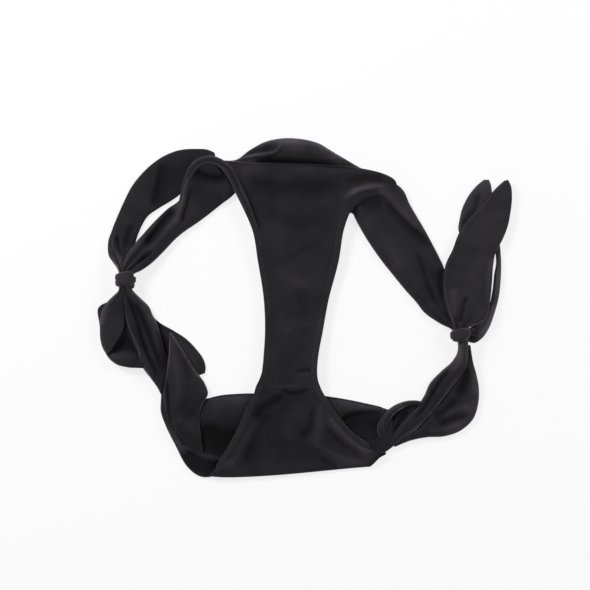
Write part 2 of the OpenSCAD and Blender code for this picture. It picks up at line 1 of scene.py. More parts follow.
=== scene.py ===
import math

import bmesh
import bpy
import numpy as np
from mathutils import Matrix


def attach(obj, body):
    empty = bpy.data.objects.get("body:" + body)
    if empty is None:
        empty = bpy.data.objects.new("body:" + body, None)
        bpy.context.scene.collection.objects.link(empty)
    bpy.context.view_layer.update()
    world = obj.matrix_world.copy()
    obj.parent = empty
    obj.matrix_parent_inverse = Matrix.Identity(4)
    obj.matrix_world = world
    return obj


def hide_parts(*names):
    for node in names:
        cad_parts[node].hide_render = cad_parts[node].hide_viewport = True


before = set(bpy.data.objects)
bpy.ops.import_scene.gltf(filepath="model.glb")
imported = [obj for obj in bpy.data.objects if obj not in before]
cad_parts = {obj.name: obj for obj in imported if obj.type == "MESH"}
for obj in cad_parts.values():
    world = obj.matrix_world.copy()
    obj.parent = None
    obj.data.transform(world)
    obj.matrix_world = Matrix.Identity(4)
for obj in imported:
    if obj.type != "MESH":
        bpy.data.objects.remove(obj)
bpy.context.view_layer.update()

mm = 0.001
body = "brief"
upward = np.array([0.0, 0.0, 1.0])
tiny = 1e-9     # keeps a division away from nothing


# Lines and cloth surfaces, all worked out in millimetres

def runLength(points):
    # how far along a line each of its points is
    return np.concatenate([[0.0], np.cumsum(np.linalg.norm(np.diff(points, axis=0), axis=1))])


def smoothRun(table, samples, places):
    # a smooth line through given rows, the first few columns being places
    table = np.array(table, float)
    marks = runLength(table[:, :places])
    marks = marks / marks[-1]
    slopes = np.gradient(table, marks, axis=0)
    where = np.linspace(0, 1, samples)
    cell = np.clip(np.searchsorted(marks, where, side="right") - 1, 0, len(marks) - 2)
    span = (marks[cell + 1] - marks[cell])[:, None]
    t = (where - marks[cell])[:, None] / span
    start, end = table[cell], table[cell + 1]
    startSlope, endSlope = slopes[cell] * span, slopes[cell + 1] * span
    return (start * (2 * t**3 - 3 * t**2 + 1) + startSlope * (t**3 - 2 * t**2 + t)
            + end * (3 * t**2 - 2 * t**3) + endSlope * (t**3 - t**2))


def easeIn(share):
    share = np.clip(share, 0, 1)
    return share * share * (3 - 2 * share)


def fullTurn(around):
    return np.linspace(0, 2 * math.pi, around, endpoint=False)


foldLine = {"samples": 22, "runOut": 0.2}     # a fold dies away over this share of its route at both ends


def foldHeight(x, y, fold):
    # one fold or crease: its route, height, and how wide it is left and right of its line
    route, height, wideLeft, wideRight = fold
    line = smoothRun(route, foldLine["samples"], places=2)
    nearest = np.full(x.shape, np.inf)
    side = np.zeros(x.shape)
    along = np.zeros(x.shape)
    last = len(line) - 1
    for i in range(last):
        step = line[i + 1] - line[i]
        t = np.clip(((x - line[i, 0]) * step[0] + (y - line[i, 1]) * step[1]) / (step @ step), 0, 1)
        offX = x - line[i, 0] - t * step[0]
        offY = y - line[i, 1] - t * step[1]
        away = np.hypot(offX, offY)
        closer = away < nearest
        nearest = np.where(closer, away, nearest)
        side = np.where(closer, step[0] * offY - step[1] * offX, side)
        along = np.where(closer, (i + t) / last, along)
    wide = np.where(side > 0, wideLeft, wideRight)
    runOut = easeIn(along / foldLine["runOut"]) * easeIn((1 - along) / foldLine["runOut"])
    return height * np.exp(-(nearest / wide) ** 2) * runOut


foldGain = 1.5     # every fold is half as high again as its table says
foldShadingFull = 2.6     # fold height in millimetres at which a ridge gets its palest painted highlight, or a crease its darkest painted shade
creaseShadeGain = 1.35     # painted shade in creases is stronger than the painted highlight on ridges
paintedEdgeSheen = {"tone": 0.5, "reach": 2.5}     # painted sheen along the folded edges of doubled cloth


def allFolds(x, y, piece):
    height = np.zeros(x.shape)
    for fold in piece["folds"]:
        height = height + foldGain * foldHeight(x, y, fold)
    return height


def paintedFoldShading(relief):
    # ridges paler, partly wear and partly painted highlight; creases darker, painted shade
    tone = np.clip(relief / foldShadingFull, -1, 1)
    return np.where(tone < 0, creaseShadeGain * tone, tone)


def paintedAreaShading(x, y, piece):
    # painted light and shade over wider areas of a piece, on top of a painted tone for the whole piece
    tone = np.full(x.shape, piece.get("tone", 0.0))
    for shade in piece.get("shades", []):
        tone = tone + foldHeight(x, y, shade)
    return tone


# each wave's length is a size in millimetres times a share between the shortest and the longest
rippling = {"waves": 7, "shortest": 0.7, "longest": 1.8, "bunchedSize": 24, "panelSize": 26}


def softRipple(x, y, piece, size):
    # the small unevenness of cloth that was worn and put down
    pick = np.random.default_rng(piece["seed"])
    total = np.zeros(x.shape)
    for i in range(rippling["waves"]):
        angle = pick.uniform(0, math.pi)
        reach = size * pick.uniform(rippling["shortest"], rippling["longest"])
        turn = pick.uniform(0, 2 * math.pi)
        total = total + np.sin((x * math.cos(angle) + y * math.sin(angle)) * 2 * math.pi / reach + turn)
    return piece["ripple"] * total / rippling["waves"]


pleatWander = {"along": 0.05, "alongWaves": 9, "across": 0.04, "acrossWaves": 5, "acrossDrift": 3,
               "fade": 1.5}


def knotGathers(u, v, gathers):
    # pleats that start in a knot and run out along the cloth
    away = v if gathers["fromStart"] else 1 - v
    along = pleatWander["along"] * np.sin(pleatWander["alongWaves"] * v)
    across = pleatWander["across"] * np.sin(pleatWander["acrossWaves"] * u + pleatWander["acrossDrift"] * v)
    wave = np.cos(2 * math.pi * gathers["count"] * (u + gathers["phase"] + along + across))
    return gathers["depth"] * wave * np.exp(-(away / gathers["reach"]) ** pleatWander["fade"])


def quads(*corners):
    return np.stack([corner.ravel() for corner in corners], 1)


def gridShell(top, low, wornAndShaded):
    # a closed shell between an upper and a lower grid, with the cloth's own UV and its wear with painted
    # light and shade
    rows, columns = top.shape[:2]
    points = np.concatenate([top.reshape(-1, 3), low.reshape(-1, 3)])
    number = np.arange(rows * columns).reshape(rows, columns)
    under = number + rows * columns
    faces = [quads(number[:-1, :-1], number[:-1, 1:], number[1:, 1:], number[1:, :-1]),
             quads(under[:-1, :-1], under[1:, :-1], under[1:, 1:], under[:-1, 1:])]
    for edge, below in ((number[:, 0], under[:, 0]), (number[::-1, -1], under[::-1, -1]),
                        (number[0, ::-1], under[0, ::-1]), (number[-1], under[-1])):
        faces.append(quads(edge[:-1], edge[1:], below[1:], below[:-1]))
    width = np.linalg.norm(top[:, -1] - top[:, 0], axis=1)
    length = runLength(top[:, columns // 2])
    share = np.linspace(-0.5, 0.5, columns)
    flat = np.stack([width[:, None] * share[None, :], np.repeat(length[:, None], columns, 1)], 2)
    uv = np.concatenate([flat.reshape(-1, 2), flat.reshape(-1, 2)])
    return points, np.concatenate(faces), uv, np.concatenate([wornAndShaded.ravel(), wornAndShaded.ravel()])


finerEdges = {"bunched": 0.6, "panel": 0.35}     # how much closer columns lie near the sides


def acrossShares(columns, finer):
    even = np.linspace(0, 1, columns)
    return ((1 - finer) * even + finer * (0.5 - 0.5 * np.cos(math.pi * even)))[None, :]


def between(run, left, right, u):
    # from one column of the stations at the left side to another at the right
    return run[:, left:left + 1] * (1 - u) + run[:, right:right + 1] * u


def roundedEnd(share, reach):
    # a quarter round that climbs from nothing to full height
    if reach == 0:
        return np.ones(share.shape)
    return np.sqrt(1 - (1 - np.clip(share / reach, 0, 1)) ** 2)


# how much of its rim a side keeps above and below, and how its slope begins and ends along the piece
rimShape = {"above": 0.6, "swell": 0.3, "below": 0.4, "aboveFade": 0.6, "belowFade": 0.5}
softSide = {"least": 0.1, "from": 0.01, "till": 2, "runOut": 0.12}


def bunchedCloth(piece):
    # rows: left x y, right x y, underside at left and right, height
    run = smoothRun(piece["stations"], piece["rows"], places=4)
    u = acrossShares(piece["columns"], finerEdges["bunched"])
    v = np.linspace(0, 1, piece["rows"])[:, None]
    x, y, under = between(run, 0, 2, u), between(run, 1, 3, u), between(run, 4, 5, u)
    rim, fullness = piece["rim"], piece["fullness"]
    lean = u ** piece.get("lean", 1.0)
    dome = np.clip(1 - np.abs(2 * lean - 1) ** fullness, 0, 1) ** (1 / fullness)
    width = np.hypot(run[:, 2:3] - run[:, 0:1], run[:, 3:4] - run[:, 1:2])
    slopes = easeIn(v / piece.get("softFrom", softSide["from"]))
    slopes = slopes * easeIn((piece.get("softTill", softSide["till"]) - v) / softSide["runOut"])
    slopes = softSide["least"] + (1 - softSide["least"]) * slopes
    for share, reach in zip((u, 1 - u), piece.get("softSides", (0, 0))):
        if reach > 0:     # slopes down onto the cloth beside it
            dome = np.minimum(dome, easeIn(share * width / (reach * slopes)))
    relief = allFolds(x, y, piece) + softRipple(x, y, piece, rippling["bunchedSize"])
    for gathers in piece.get("gathers", []):
        relief = relief + knotGathers(u, v, gathers)
    startRound, endRound = piece.get("roundEnds", (0, 0))
    ends = roundedEnd(v, startRound) * roundedEnd(1 - v, endRound)
    rimTop = under + rimShape["above"] * rim
    loft = run[:, 6:7] - rimShape["above"] * rim
    top = rimTop + (loft * dome + relief * dome ** rimShape["aboveFade"]) * ends
    top = np.maximum(top, rimTop + rimShape["swell"] * dome * rim)
    low = under + rimShape["below"] * rim * (1 - dome ** rimShape["belowFade"])
    toEdge = np.minimum(u, 1 - u) * width
    # painted highlight on ridges and painted shade in creases, painted light and shade over wider areas, and
    # a painted sheen along the edges, painted shade there where edgeTone is below zero
    wornAndShaded = (paintedFoldShading(relief * ends) + paintedAreaShading(x, y, piece)
            + piece.get("edgeTone", paintedEdgeSheen["tone"]) * np.exp(-(toEdge / paintedEdgeSheen["reach"]) ** 2))
    return gridShell(np.stack([x, y, top], 2), np.stack([x, y, low], 2), wornAndShaded)


def clothGrid(piece):
    # rows: left x y z, right x y z, crown, bow
    run = smoothRun(piece["stations"], piece["rows"], places=6)
    u = acrossShares(piece["columns"], finerEdges["panel"])
    nearStart, nearEnd = piece["bowSkew"]
    x = between(run, 0, 3, u)
    y = between(run, 1, 4, u) + run[:, 7:8] * u ** nearStart * (1 - u) ** nearEnd
    z = between(run, 2, 5, u) + run[:, 6:7] * 4 * u * (1 - u)     # full crown in the middle
    z = z + allFolds(x, y, piece) + softRipple(x, y, piece, rippling["panelSize"])
    if "sag" in piece:     # hangs down between what carries its two ends
        depth, fromY, toY = piece["sag"]
        z = z - depth * np.sin(math.pi * np.clip((y - fromY) / (toY - fromY), 0, 1)) ** 2
    return np.stack([x, y, z], 2)


def gridNormals(grid):
    normal = np.cross(np.gradient(grid, axis=1), np.gradient(grid, axis=0))
    if normal[..., 2].mean() < 0:     # rows that run towards the front
        normal = -normal
    return normal / np.maximum(np.linalg.norm(normal, axis=2, keepdims=True), tiny)


def thinCloth(grid, thick, wornAndShaded, drop=0.0):
    # a sheet of even thickness below a grid, or further down for a lining
    normal = gridNormals(grid)
    return gridShell(grid - normal * drop, grid - normal * (drop + thick), wornAndShaded)


def panelCloth(grid, panel):
    x, y = grid[..., 0], grid[..., 1]
    # painted highlight on ridges, painted shade in creases, and painted light and shade over wider areas
    return thinCloth(grid, panel["thick"], paintedFoldShading(allFolds(x, y, panel)) + paintedAreaShading(x, y, panel))


def tubeRings(path, ringAt):
    # frames along a path that keep one side level
    steps = np.gradient(path, axis=0)
    steps = steps / np.linalg.norm(steps, axis=1, keepdims=True)
    side = np.cross(steps, upward)
    side = side / np.maximum(np.linalg.norm(side, axis=1, keepdims=True), tiny)
    rise = np.cross(side, steps)
    return path[:, None, :] + ringAt[..., 0:1] * side[:, None, :] + ringAt[..., 1:2] * rise[:, None, :]


def tubeFaces(number):
    onward = np.roll(number, -1, axis=1)
    return quads(number[:-1], onward[:-1], onward[1:], number[1:])


def tubeUv(rings):
    count, around = rings.shape[:2]
    girth = runLength(rings[count // 2])[-1]
    uv = np.stack(np.broadcast_arrays(np.linspace(0, girth, around)[None, :],
                                      runLength(rings.mean(1))[:, None]), 2)
    return uv.reshape(-1, 2)


def closedTube(rings, wornAndShaded=0.0):
    # joins rings into a tube with a fan at each end
    count, around = rings.shape[:2]
    points = np.concatenate([rings.reshape(-1, 3), rings[:1].mean(1), rings[-1:].mean(1)])
    number = np.arange(count * around).reshape(count, around)
    onward = np.roll(number, -1, axis=1)
    ends = [(onward[0, i], number[0, i], count * around) for i in range(around)]
    ends += [(number[-1, i], onward[-1, i], count * around + 1) for i in range(around)]
    uv = tubeUv(rings)
    uv = np.concatenate([uv, [[0, 0], [0, uv[-1, 1]]]])
    return points, list(tubeFaces(number)) + ends, uv, np.full(len(points), wornAndShaded)


def hollowTube(outer, inner, wornAndShaded):
    # cloth rolled into a tube that is open at both ends
    count, around = outer.shape[:2]
    points = np.concatenate([outer.reshape(-1, 3), inner.reshape(-1, 3)])
    outside = np.arange(count * around).reshape(count, around)
    inside = outside + count * around
    faces = [tubeFaces(outside), tubeFaces(inside[:, ::-1])]
    for row, back in ((0, -1), (-1, 1)):
        lip, bore = outside[row][::back], inside[row][::back]
        faces.append(quads(lip, np.roll(lip, 1), np.roll(bore, 1), bore))
    uv = tubeUv(outer)
    bothWornAndShaded = np.broadcast_to(wornAndShaded, (2, count, around)).ravel()
    return points, np.concatenate(faces), np.concatenate([uv, uv]), bothWornAndShaded


def makePiece(name, shells, material, node, rides=body):
    # one mesh object from one or more closed shells
    points, faces, uvs, wornAndShadedParts = [], [], [], []
    base = 0
    for shellPoints, shellFaces, shellUv, shellWornAndShaded in shells:
        points.append(shellPoints)
        uvs.append(shellUv)
        wornAndShadedParts.append(shellWornAndShaded)
        faces += [[int(i) + base for i in face] for face in shellFaces]
        base += len(shellPoints)
    points = np.concatenate(points) * mm
    uvs = np.concatenate(uvs) * mm
    mesh = bpy.data.meshes.new(name)
    mesh.from_pydata(points.tolist(), [], faces)
    layer = mesh.uv_layers.new(name="cloth")
    corners = np.zeros(len(mesh.loops), int)
    mesh.loops.foreach_get("vertex_index", corners)
    layer.data.foreach_set("uv", uvs[corners].ravel())
    # this attribute carries the painted light and shade, with some wear, to the material
    wornAndShaded = mesh.attributes.new("wornAndShaded", "FLOAT", "POINT")
    wornAndShaded.data.foreach_set("value", np.concatenate(wornAndShadedParts))
    work = bmesh.new()
    work.from_mesh(mesh)
    bmesh.ops.recalc_face_normals(work, faces=work.faces)
    work.to_mesh(mesh)
    work.free()
    mesh.shade_smooth()
    mesh.materials.append(material)
    piece = bpy.data.objects.new(name, mesh)
    bpy.context.collection.objects.link(piece)
    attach(piece, rides)
    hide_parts(node)
    return piece


# Shader groups that the cloths share

def newGroup(name, inputs, outputs):
    group = bpy.data.node_groups.new(name, "ShaderNodeTree")
    for label, kind, value in inputs:
        socket = group.interface.new_socket(label, in_out="INPUT", socket_type=kind)
        socket.default_value = value
    for label in outputs:
        group.interface.new_socket(label, in_out="OUTPUT", socket_type="NodeSocketFloat")
    return group, group.nodes.new("NodeGroupInput"), group.nodes.new("NodeGroupOutput")


def mathNode(tree, operation, first, second=None):
    node = tree.nodes.new("ShaderNodeMath")
    node.operation = operation
    for socket, value in zip(node.inputs, (first, second)):
        if value is None:
            continue
        if isinstance(value, (int, float)):
            socket.default_value = value
        else:
            tree.links.new(value, socket)
    return node.outputs[0]


knitShape = {"pitch": 0.8, "halfLoop": 0.5, "loopShare": 0.35}


def knitGroup():
    # rows of small V loops along the cloth, from its UV
    group, given, result = newGroup("jerseyKnit", [("Vector", "NodeSocketVector", (0, 0, 0)),
                                                   ("Pitch", "NodeSocketFloat", knitShape["pitch"] * mm)],
                                    ["Height"])
    parts = group.nodes.new("ShaderNodeSeparateXYZ")
    group.links.new(given.outputs["Vector"], parts.inputs[0])
    column = mathNode(group, "DIVIDE", parts.outputs[0], given.outputs["Pitch"])
    course = mathNode(group, "DIVIDE", parts.outputs[1], given.outputs["Pitch"])
    zigzag = mathNode(group, "PINGPONG", column, knitShape["halfLoop"])
    slanted = mathNode(group, "ADD", course, zigzag)
    loop = mathNode(group, "SINE", mathNode(group, "MULTIPLY", slanted, 2 * math.pi))
    groove = mathNode(group, "SINE", mathNode(group, "MULTIPLY", zigzag, 2 * math.pi))
    height = mathNode(group, "ADD", mathNode(group, "MULTIPLY", loop, knitShape["loopShare"]), groove)
    group.links.new(height, result.inputs["Height"])
    return group


dyeClouds = {"Tone": {"scale": 34.0, "detail": 4.0}, "Grain": {"scale": 420.0, "detail": 2.0}}


def dyedGroup():
    # cloudy fading of dyed cloth, with a finer grain in it
    scales = [(label + " Scale", "NodeSocketFloat", cloud["scale"]) for label, cloud in dyeClouds.items()]
    group, given, result = newGroup("dyedCloth", [("Vector", "NodeSocketVector", (0, 0, 0))] + scales,
                                    list(dyeClouds))
    for label, cloud in dyeClouds.items():
        noise = group.nodes.new("ShaderNodeTexNoise")
        noise.inputs["Detail"].default_value = cloud["detail"]
        group.links.new(given.outputs["Vector"], noise.inputs["Vector"])
        group.links.new(given.outputs[label + " Scale"], noise.inputs["Scale"])
        group.links.new(noise.outputs[0], result.inputs[label])
    return group


shadingContrast = 2.0     # how many times paler the fullest painted highlight is, and darker the deepest painted shade
weave = {"darkAt": 0.3, "paleAt": 0.7, "toneShare": 0.65, "grainShare": 0.35, "grainRough": 0.16,
         "grainBump": 0.8, "bumpDepth": 0.12, "napRough": 0.35}


def clothMaterial(name, look):
    material = bpy.data.materials.new(name)
    material.use_nodes = True
    tree = material.node_tree
    shader = tree.nodes["Principled BSDF"]
    places = tree.nodes.new("ShaderNodeTexCoord")
    fading = tree.nodes.new("ShaderNodeGroup")
    fading.node_tree = dyedCloth
    tree.links.new(places.outputs["Object"], fading.inputs["Vector"])
    loops = tree.nodes.new("ShaderNodeGroup")
    loops.node_tree = jerseyKnit
    loops.inputs["Pitch"].default_value = look["pitch"] * mm
    tree.links.new(places.outputs["UV"], loops.inputs["Vector"])

    def grain(share):
        return mathNode(tree, "MULTIPLY", fading.outputs["Grain"], share)

    colours = tree.nodes.new("ShaderNodeValToRGB")
    colours.color_ramp.elements[0].position = weave["darkAt"]
    colours.color_ramp.elements[0].color = (*look["dark"], 1)
    colours.color_ramp.elements[1].position = weave["paleAt"]
    colours.color_ramp.elements[1].color = (*look["pale"], 1)
    tone = mathNode(tree, "ADD", mathNode(tree, "MULTIPLY", fading.outputs["Tone"], weave["toneShare"]),
                    grain(weave["grainShare"]))
    tree.links.new(tone, colours.inputs[0])
    # painted light and shade, with some wear, scale the cloth's colour
    folds = tree.nodes.new("ShaderNodeAttribute")
    folds.attribute_name = "wornAndShaded"
    shadedColour = tree.nodes.new("ShaderNodeVectorMath")
    shadedColour.operation = "SCALE"
    tree.links.new(colours.outputs[0], shadedColour.inputs[0])
    wearAndShading = mathNode(tree, "POWER", shadingContrast, folds.outputs["Fac"])
    tree.links.new(wearAndShading, shadedColour.inputs["Scale"])
    tree.links.new(shadedColour.outputs[0], shader.inputs["Base Color"])
    rough = mathNode(tree, "ADD", grain(weave["grainRough"]), look["rough"])
    tree.links.new(rough, shader.inputs["Roughness"])

    bump = tree.nodes.new("ShaderNodeBump")
    bump.inputs["Strength"].default_value = look["bump"]
    bump.inputs["Distance"].default_value = weave["bumpDepth"] * mm
    height = mathNode(tree, "ADD", loops.outputs["Height"], grain(weave["grainBump"]))
    tree.links.new(height, bump.inputs["Height"])
    tree.links.new(bump.outputs[0], shader.inputs["Normal"])
    shader.inputs["Specular IOR Level"].default_value = look["gloss"]
    nap = mathNode(tree, "MULTIPLY", mathNode(tree, "MINIMUM", wearAndShading, 1.0), look["sheen"])
    tree.links.new(nap, shader.inputs["Sheen Weight"])     # painted shade: the sheen is cut down where shade is painted
    shader.inputs["Sheen Roughness"].default_value = weave["napRough"]
    shader.inputs["Sheen Tint"].default_value = (*look["sheenTint"], 1)
    return material


jerseyKnit = knitGroup()
dyedCloth = dyedGroup()
blackJersey = clothMaterial("blackJersey", {
    "dark": (0.0104, 0.0098, 0.0116), "pale": (0.0236, 0.0220, 0.0262), "pitch": 0.8, "bump": 0.5,
    "rough": 0.84, "gloss": 0.14, "sheen": 0.55, "sheenTint": (0.88, 0.80, 0.95)})
stretchedJersey = clothMaterial("stretchedJersey", {
    "dark": (0.0130, 0.0122, 0.0142), "pale": (0.0285, 0.0265, 0.0310), "pitch": 0.9, "bump": 0.5,
    "rough": 0.8, "gloss": 0.16, "sheen": 0.5, "sheenTint": (0.88, 0.80, 0.95)})
smoothLining = clothMaterial("smoothLining", {
    "dark": (0.008, 0.008, 0.009), "pale": (0.016, 0.015, 0.017), "pitch": 0.5, "bump": 0.3,
    "rough": 0.6, "gloss": 0.35, "sheen": 0.08, "sheenTint": (0.9, 0.9, 0.95)})
sewingThread = clothMaterial("sewingThread", {
    "dark": (0.0112, 0.0106, 0.0122), "pale": (0.0240, 0.0226, 0.0264), "pitch": 0.4, "bump": 0.4,
    "rough": 0.8, "gloss": 0.16, "sheen": 0.5, "sheenTint": (0.88, 0.80, 0.95)})
ribbedElastic = clothMaterial("ribbedElastic", {
    "dark": (0.012, 0.012, 0.012), "pale": (0.025, 0.025, 0.026), "pitch": 1.2, "bump": 0.8,
    "rough": 0.75, "gloss": 0.3, "sheen": 0.1, "sheenTint": (0.9, 0.9, 0.9)})
print("cloth materials made")


def bunchedPiece(name, parts, node, rides=body):
    # doubled cloth, as one fold or as several that lie on each other
    return makePiece(name, [bunchedCloth(part) for part in parts], blackJersey, node, rides)


# Back panel with the strip, its leg edges and the fold along its top

backPanel = {
    "stations": [
        (-46.8, -80, 11.8, 13.5, -80, 11.8, 1.0, 0),
        (-41.4, -66, 11.8, 11.2, -66, 11.8, 1.2, 0),
        (-39.6, -50, 11.8, 12.2, -50, 11.8, 1.2, 0),
        (-38.0, -23, 11.8, 17.0, -23, 11.8, 1.2, 0),
        (-39.2, 7, 11.8, 22.5, 7, 11.8, 1.2, 0),
        (-45.3, 47, 11.8, 32.8, 47, 11.8, 1.2, 0),
        (-50.8, 78, 12.2, 37.8, 78, 12.0, 0.6, 0),
        (-61.2, 104, 12.8, 44.0, 97, 12.4, -0.6, 0),
        (-68.4, 119, 13.2, 52.0, 107, 12.8, -1.0, 1),
        (-74.0, 132, 13.6, 61.0, 112, 13.0, -0.8, 3),
        (-81.0, 141, 13.8, 71.0, 114.5, 13.2, -0.4, 9),
        (-85.5, 144.5, 13.6, 82.0, 117, 12.8, 0.0, 20),
        (-88.5, 146.4, 12.8, 91.5, 121.5, 11.8, 0.0, 30),
        (-89.0, 147, 11.4, 92.0, 122, 10.6, 0.2, 33),
        (-88.5, 146.6, 9.2, 91.0, 121.6, 9.0, 0, 33),
        (-87.0, 145, 7.2, 89.0, 120, 7.4, 0, 30),
    ],
    "bowSkew": (1.6, 0.45), "thick": 1.4, "rows": 230, "columns": 96, "ripple": 0.35, "seed": 5,
    "sag": (4.0, -76, 94), "tone": -0.1,
    "shades": [
        ([(-70, 124), (-20, 114), (20, 112), (52, 114)], -0.45, 20, 24),
        ([(-84, 147), (-47, 145), (-19, 143.4), (21, 140.8), (60, 138)], -2.0, 2, 1.6),
        ([(42, 111), (52, 117), (62, 120.4), (72, 121), (86, 120.4)], 0.7, 3, 3),
    ],
    "folds": [
        ([(-84, 141), (-47, 138.5), (-19, 136.6), (21, 134.4), (40, 133.4), (60, 133)], 0.4, 3, 4),
        ([(-72, 132), (-54, 134), (-25, 127), (-8, 126)], 0.9, 5, 7),
        ([(-62, 128), (-40, 122), (-12, 119), (18, 120), (42, 126)], -0.9, 7, 9),
        ([(52, 118), (32, 107), (-2, 101), (-35, 101)], 0.5, 8, 9),
        ([(-46, 104), (-24, 88), (4, 83), (28, 93)], -0.5, 7, 10),
        ([(38, 121), (52, 126), (68, 128), (84, 125)], -1.1, 5, 5.5),
        ([(36, 104), (45, 111.5), (57, 117), (68, 119), (86, 118.5)], 1.7, 3.2, 4),
        ([(-74, 136), (-64, 116), (-53, 94), (-45, 70)], -1.7, 5, 3.5),
        ([(-18, 47), (-8, 53), (5, 60)], -0.35, 2.2, 3.2),
        ([(-30, 36), (-10, 24), (8, 22)], 0.6, 6, 7),
        ([(-6, 20), (0, 2), (-4, -16)], -0.5, 6, 6),
        ([(-30, -6), (-18, -20), (2, -24)], 0.5, 6, 6),
        ([(-14, -22), (-2, -24), (9, -22)], -0.4, 4, 4),
        ([(-9, -66), (0, -63.5), (10, -64.5)], -0.7, 2.2, 2.4),
        ([(-8, -70), (2, -67.5), (12, -68.5)], 0.6, 2.4, 2.6),
    ],
}
backGrid = clothGrid(backPanel)
backCloth = makePiece("backPanel", [panelCloth(backGrid, backPanel)], blackJersey, "back_panel")
print("back panel laid")


# Front panel, from the crotch seam down to the fold along its waist

frontPanel = {
    "stations": [
        (-46.6, -78, 11.6, 13.5, -78, 11.6, 1.0, 0),
        (-48.8, -86, 11.8, 16.5, -85, 11.8, 1.2, 0),
        (-56.0, -101, 12.2, 24.0, -96.5, 12.2, 0.6, 0),
        (-63.0, -117, 12.4, 35.5, -113.5, 12.2, 0.4, 0),
        (-70.5, -132, 12.2, 48.5, -127.6, 11.8, 0.4, 0),
        (-78.5, -146, 11.8, 63.0, -138, 11.0, 0.4, 0),
        (-86.0, -157.5, 10.8, 74.5, -144.4, 10.0, 0.4, -3),
        (-91.2, -164.4, 9.2, 81.4, -146.4, 8.4, 0.4, -8),
        (-94.0, -167.6, 6.8, 75.4, -150.2, 6.4, 0.2, -12.4),
        (-94.0, -168.2, 4.2, 68.2, -157.4, 4.2, 0, -13.8),
        (-92.5, -167.6, 2.4, 65.5, -159.6, 2.6, 0, -12.8),
        (-90.0, -164.4, 1.7, 64.5, -156, 1.9, 0, -10),
    ],
    "bowSkew": (0.6, 1.4), "thick": 1.4, "rows": 150, "columns": 110, "ripple": 0.45, "seed": 8,
    "tone": -0.35,
    "shades": [
        ([(-14, -80), (-14, -104), (-20, -126), (-22, -150)], -0.45, 20, 22),
        ([(-100, -166), (-45, -162), (-10, -160), (25, -155), (75, -150)], 0.6, 7, 7),
        ([(18, -92), (34, -116), (50, -133), (78, -146)], 0.4, 10, 8),
        ([(64, -138), (74, -143.6), (82, -146)], -1.0, 2, 2),
        ([(28, -158), (50, -156.4), (66, -151)], 0.6, 4, 5),
    ],
    "folds": [
        ([(-24, -83), (-9, -86.5), (4, -82)], -1.3, 2.0, 3),
        ([(-18, -88), (-32, -95), (-44, -104), (-52, -114)], -1.6, 4, 4),
        ([(-34, -104), (-46, -120), (-53, -140), (-58, -158)], -1.2, 5, 6),
        ([(-42, -108), (-60, -138), (-74, -160)], 1.0, 5, 5),
        ([(13, -94), (8, -108), (5, -120), (-4, -133)], -1.2, 5, 3),
        ([(17, -92), (14, -108), (14, -126), (8, -144)], 1.3, 5, 6),
        ([(0, -98), (-14, -116), (-16, -140)], 0.9, 9, 8),
        ([(20, -104), (38, -126), (56, -141), (76, -149)], 1.8, 3, 5),
        ([(18, -116), (38, -136), (62, -149)], -0.9, 3, 3.5),
        ([(10, -136), (32, -149), (60, -156)], 1.1, 2.6, 3.4),
        ([(14, -150), (24, -155), (34, -160)], -1.0, 2.6, 3),
        ([(-92, -163), (-81, -158), (-66, -155)], 1.4, 4, 4),
    ],
}
frontGrid = clothGrid(frontPanel)
frontCloth = makePiece("frontPanel", [panelCloth(frontGrid, frontPanel)], blackJersey, "front_panel")
print("front panel laid")


# Linings under both panels and the second layer in the crotch

# rows and inset are those of the panel's grid that each lies under
linings = {
    "thick": 0.7, "inset": 4,
    "back": {"drop": 1.75, "rows": slice(0, -34)},
    "front": {"drop": 1.75, "rows": slice(4, -52)},
    "gusset": {"drop": 2.75, "rows": slice(2, 128)},
}


def liningSheet(grid, name, inset):
    inner = grid[linings[name]["rows"], inset:-inset]
    sheet = thinCloth(inner, linings["thick"], np.zeros(inner.shape[:2]), linings[name]["drop"])
    return makePiece(name + "Lining", [sheet], smoothLining, name + "_lining")


backLining = liningSheet(backGrid, "back", linings["inset"])
frontLining = liningSheet(frontGrid, "front", linings["inset"])
gussetLining = liningSheet(backGrid, "gusset", 2 * linings["inset"])
print("linings laid")


# Doubled band along the back waist: the hump behind the panel

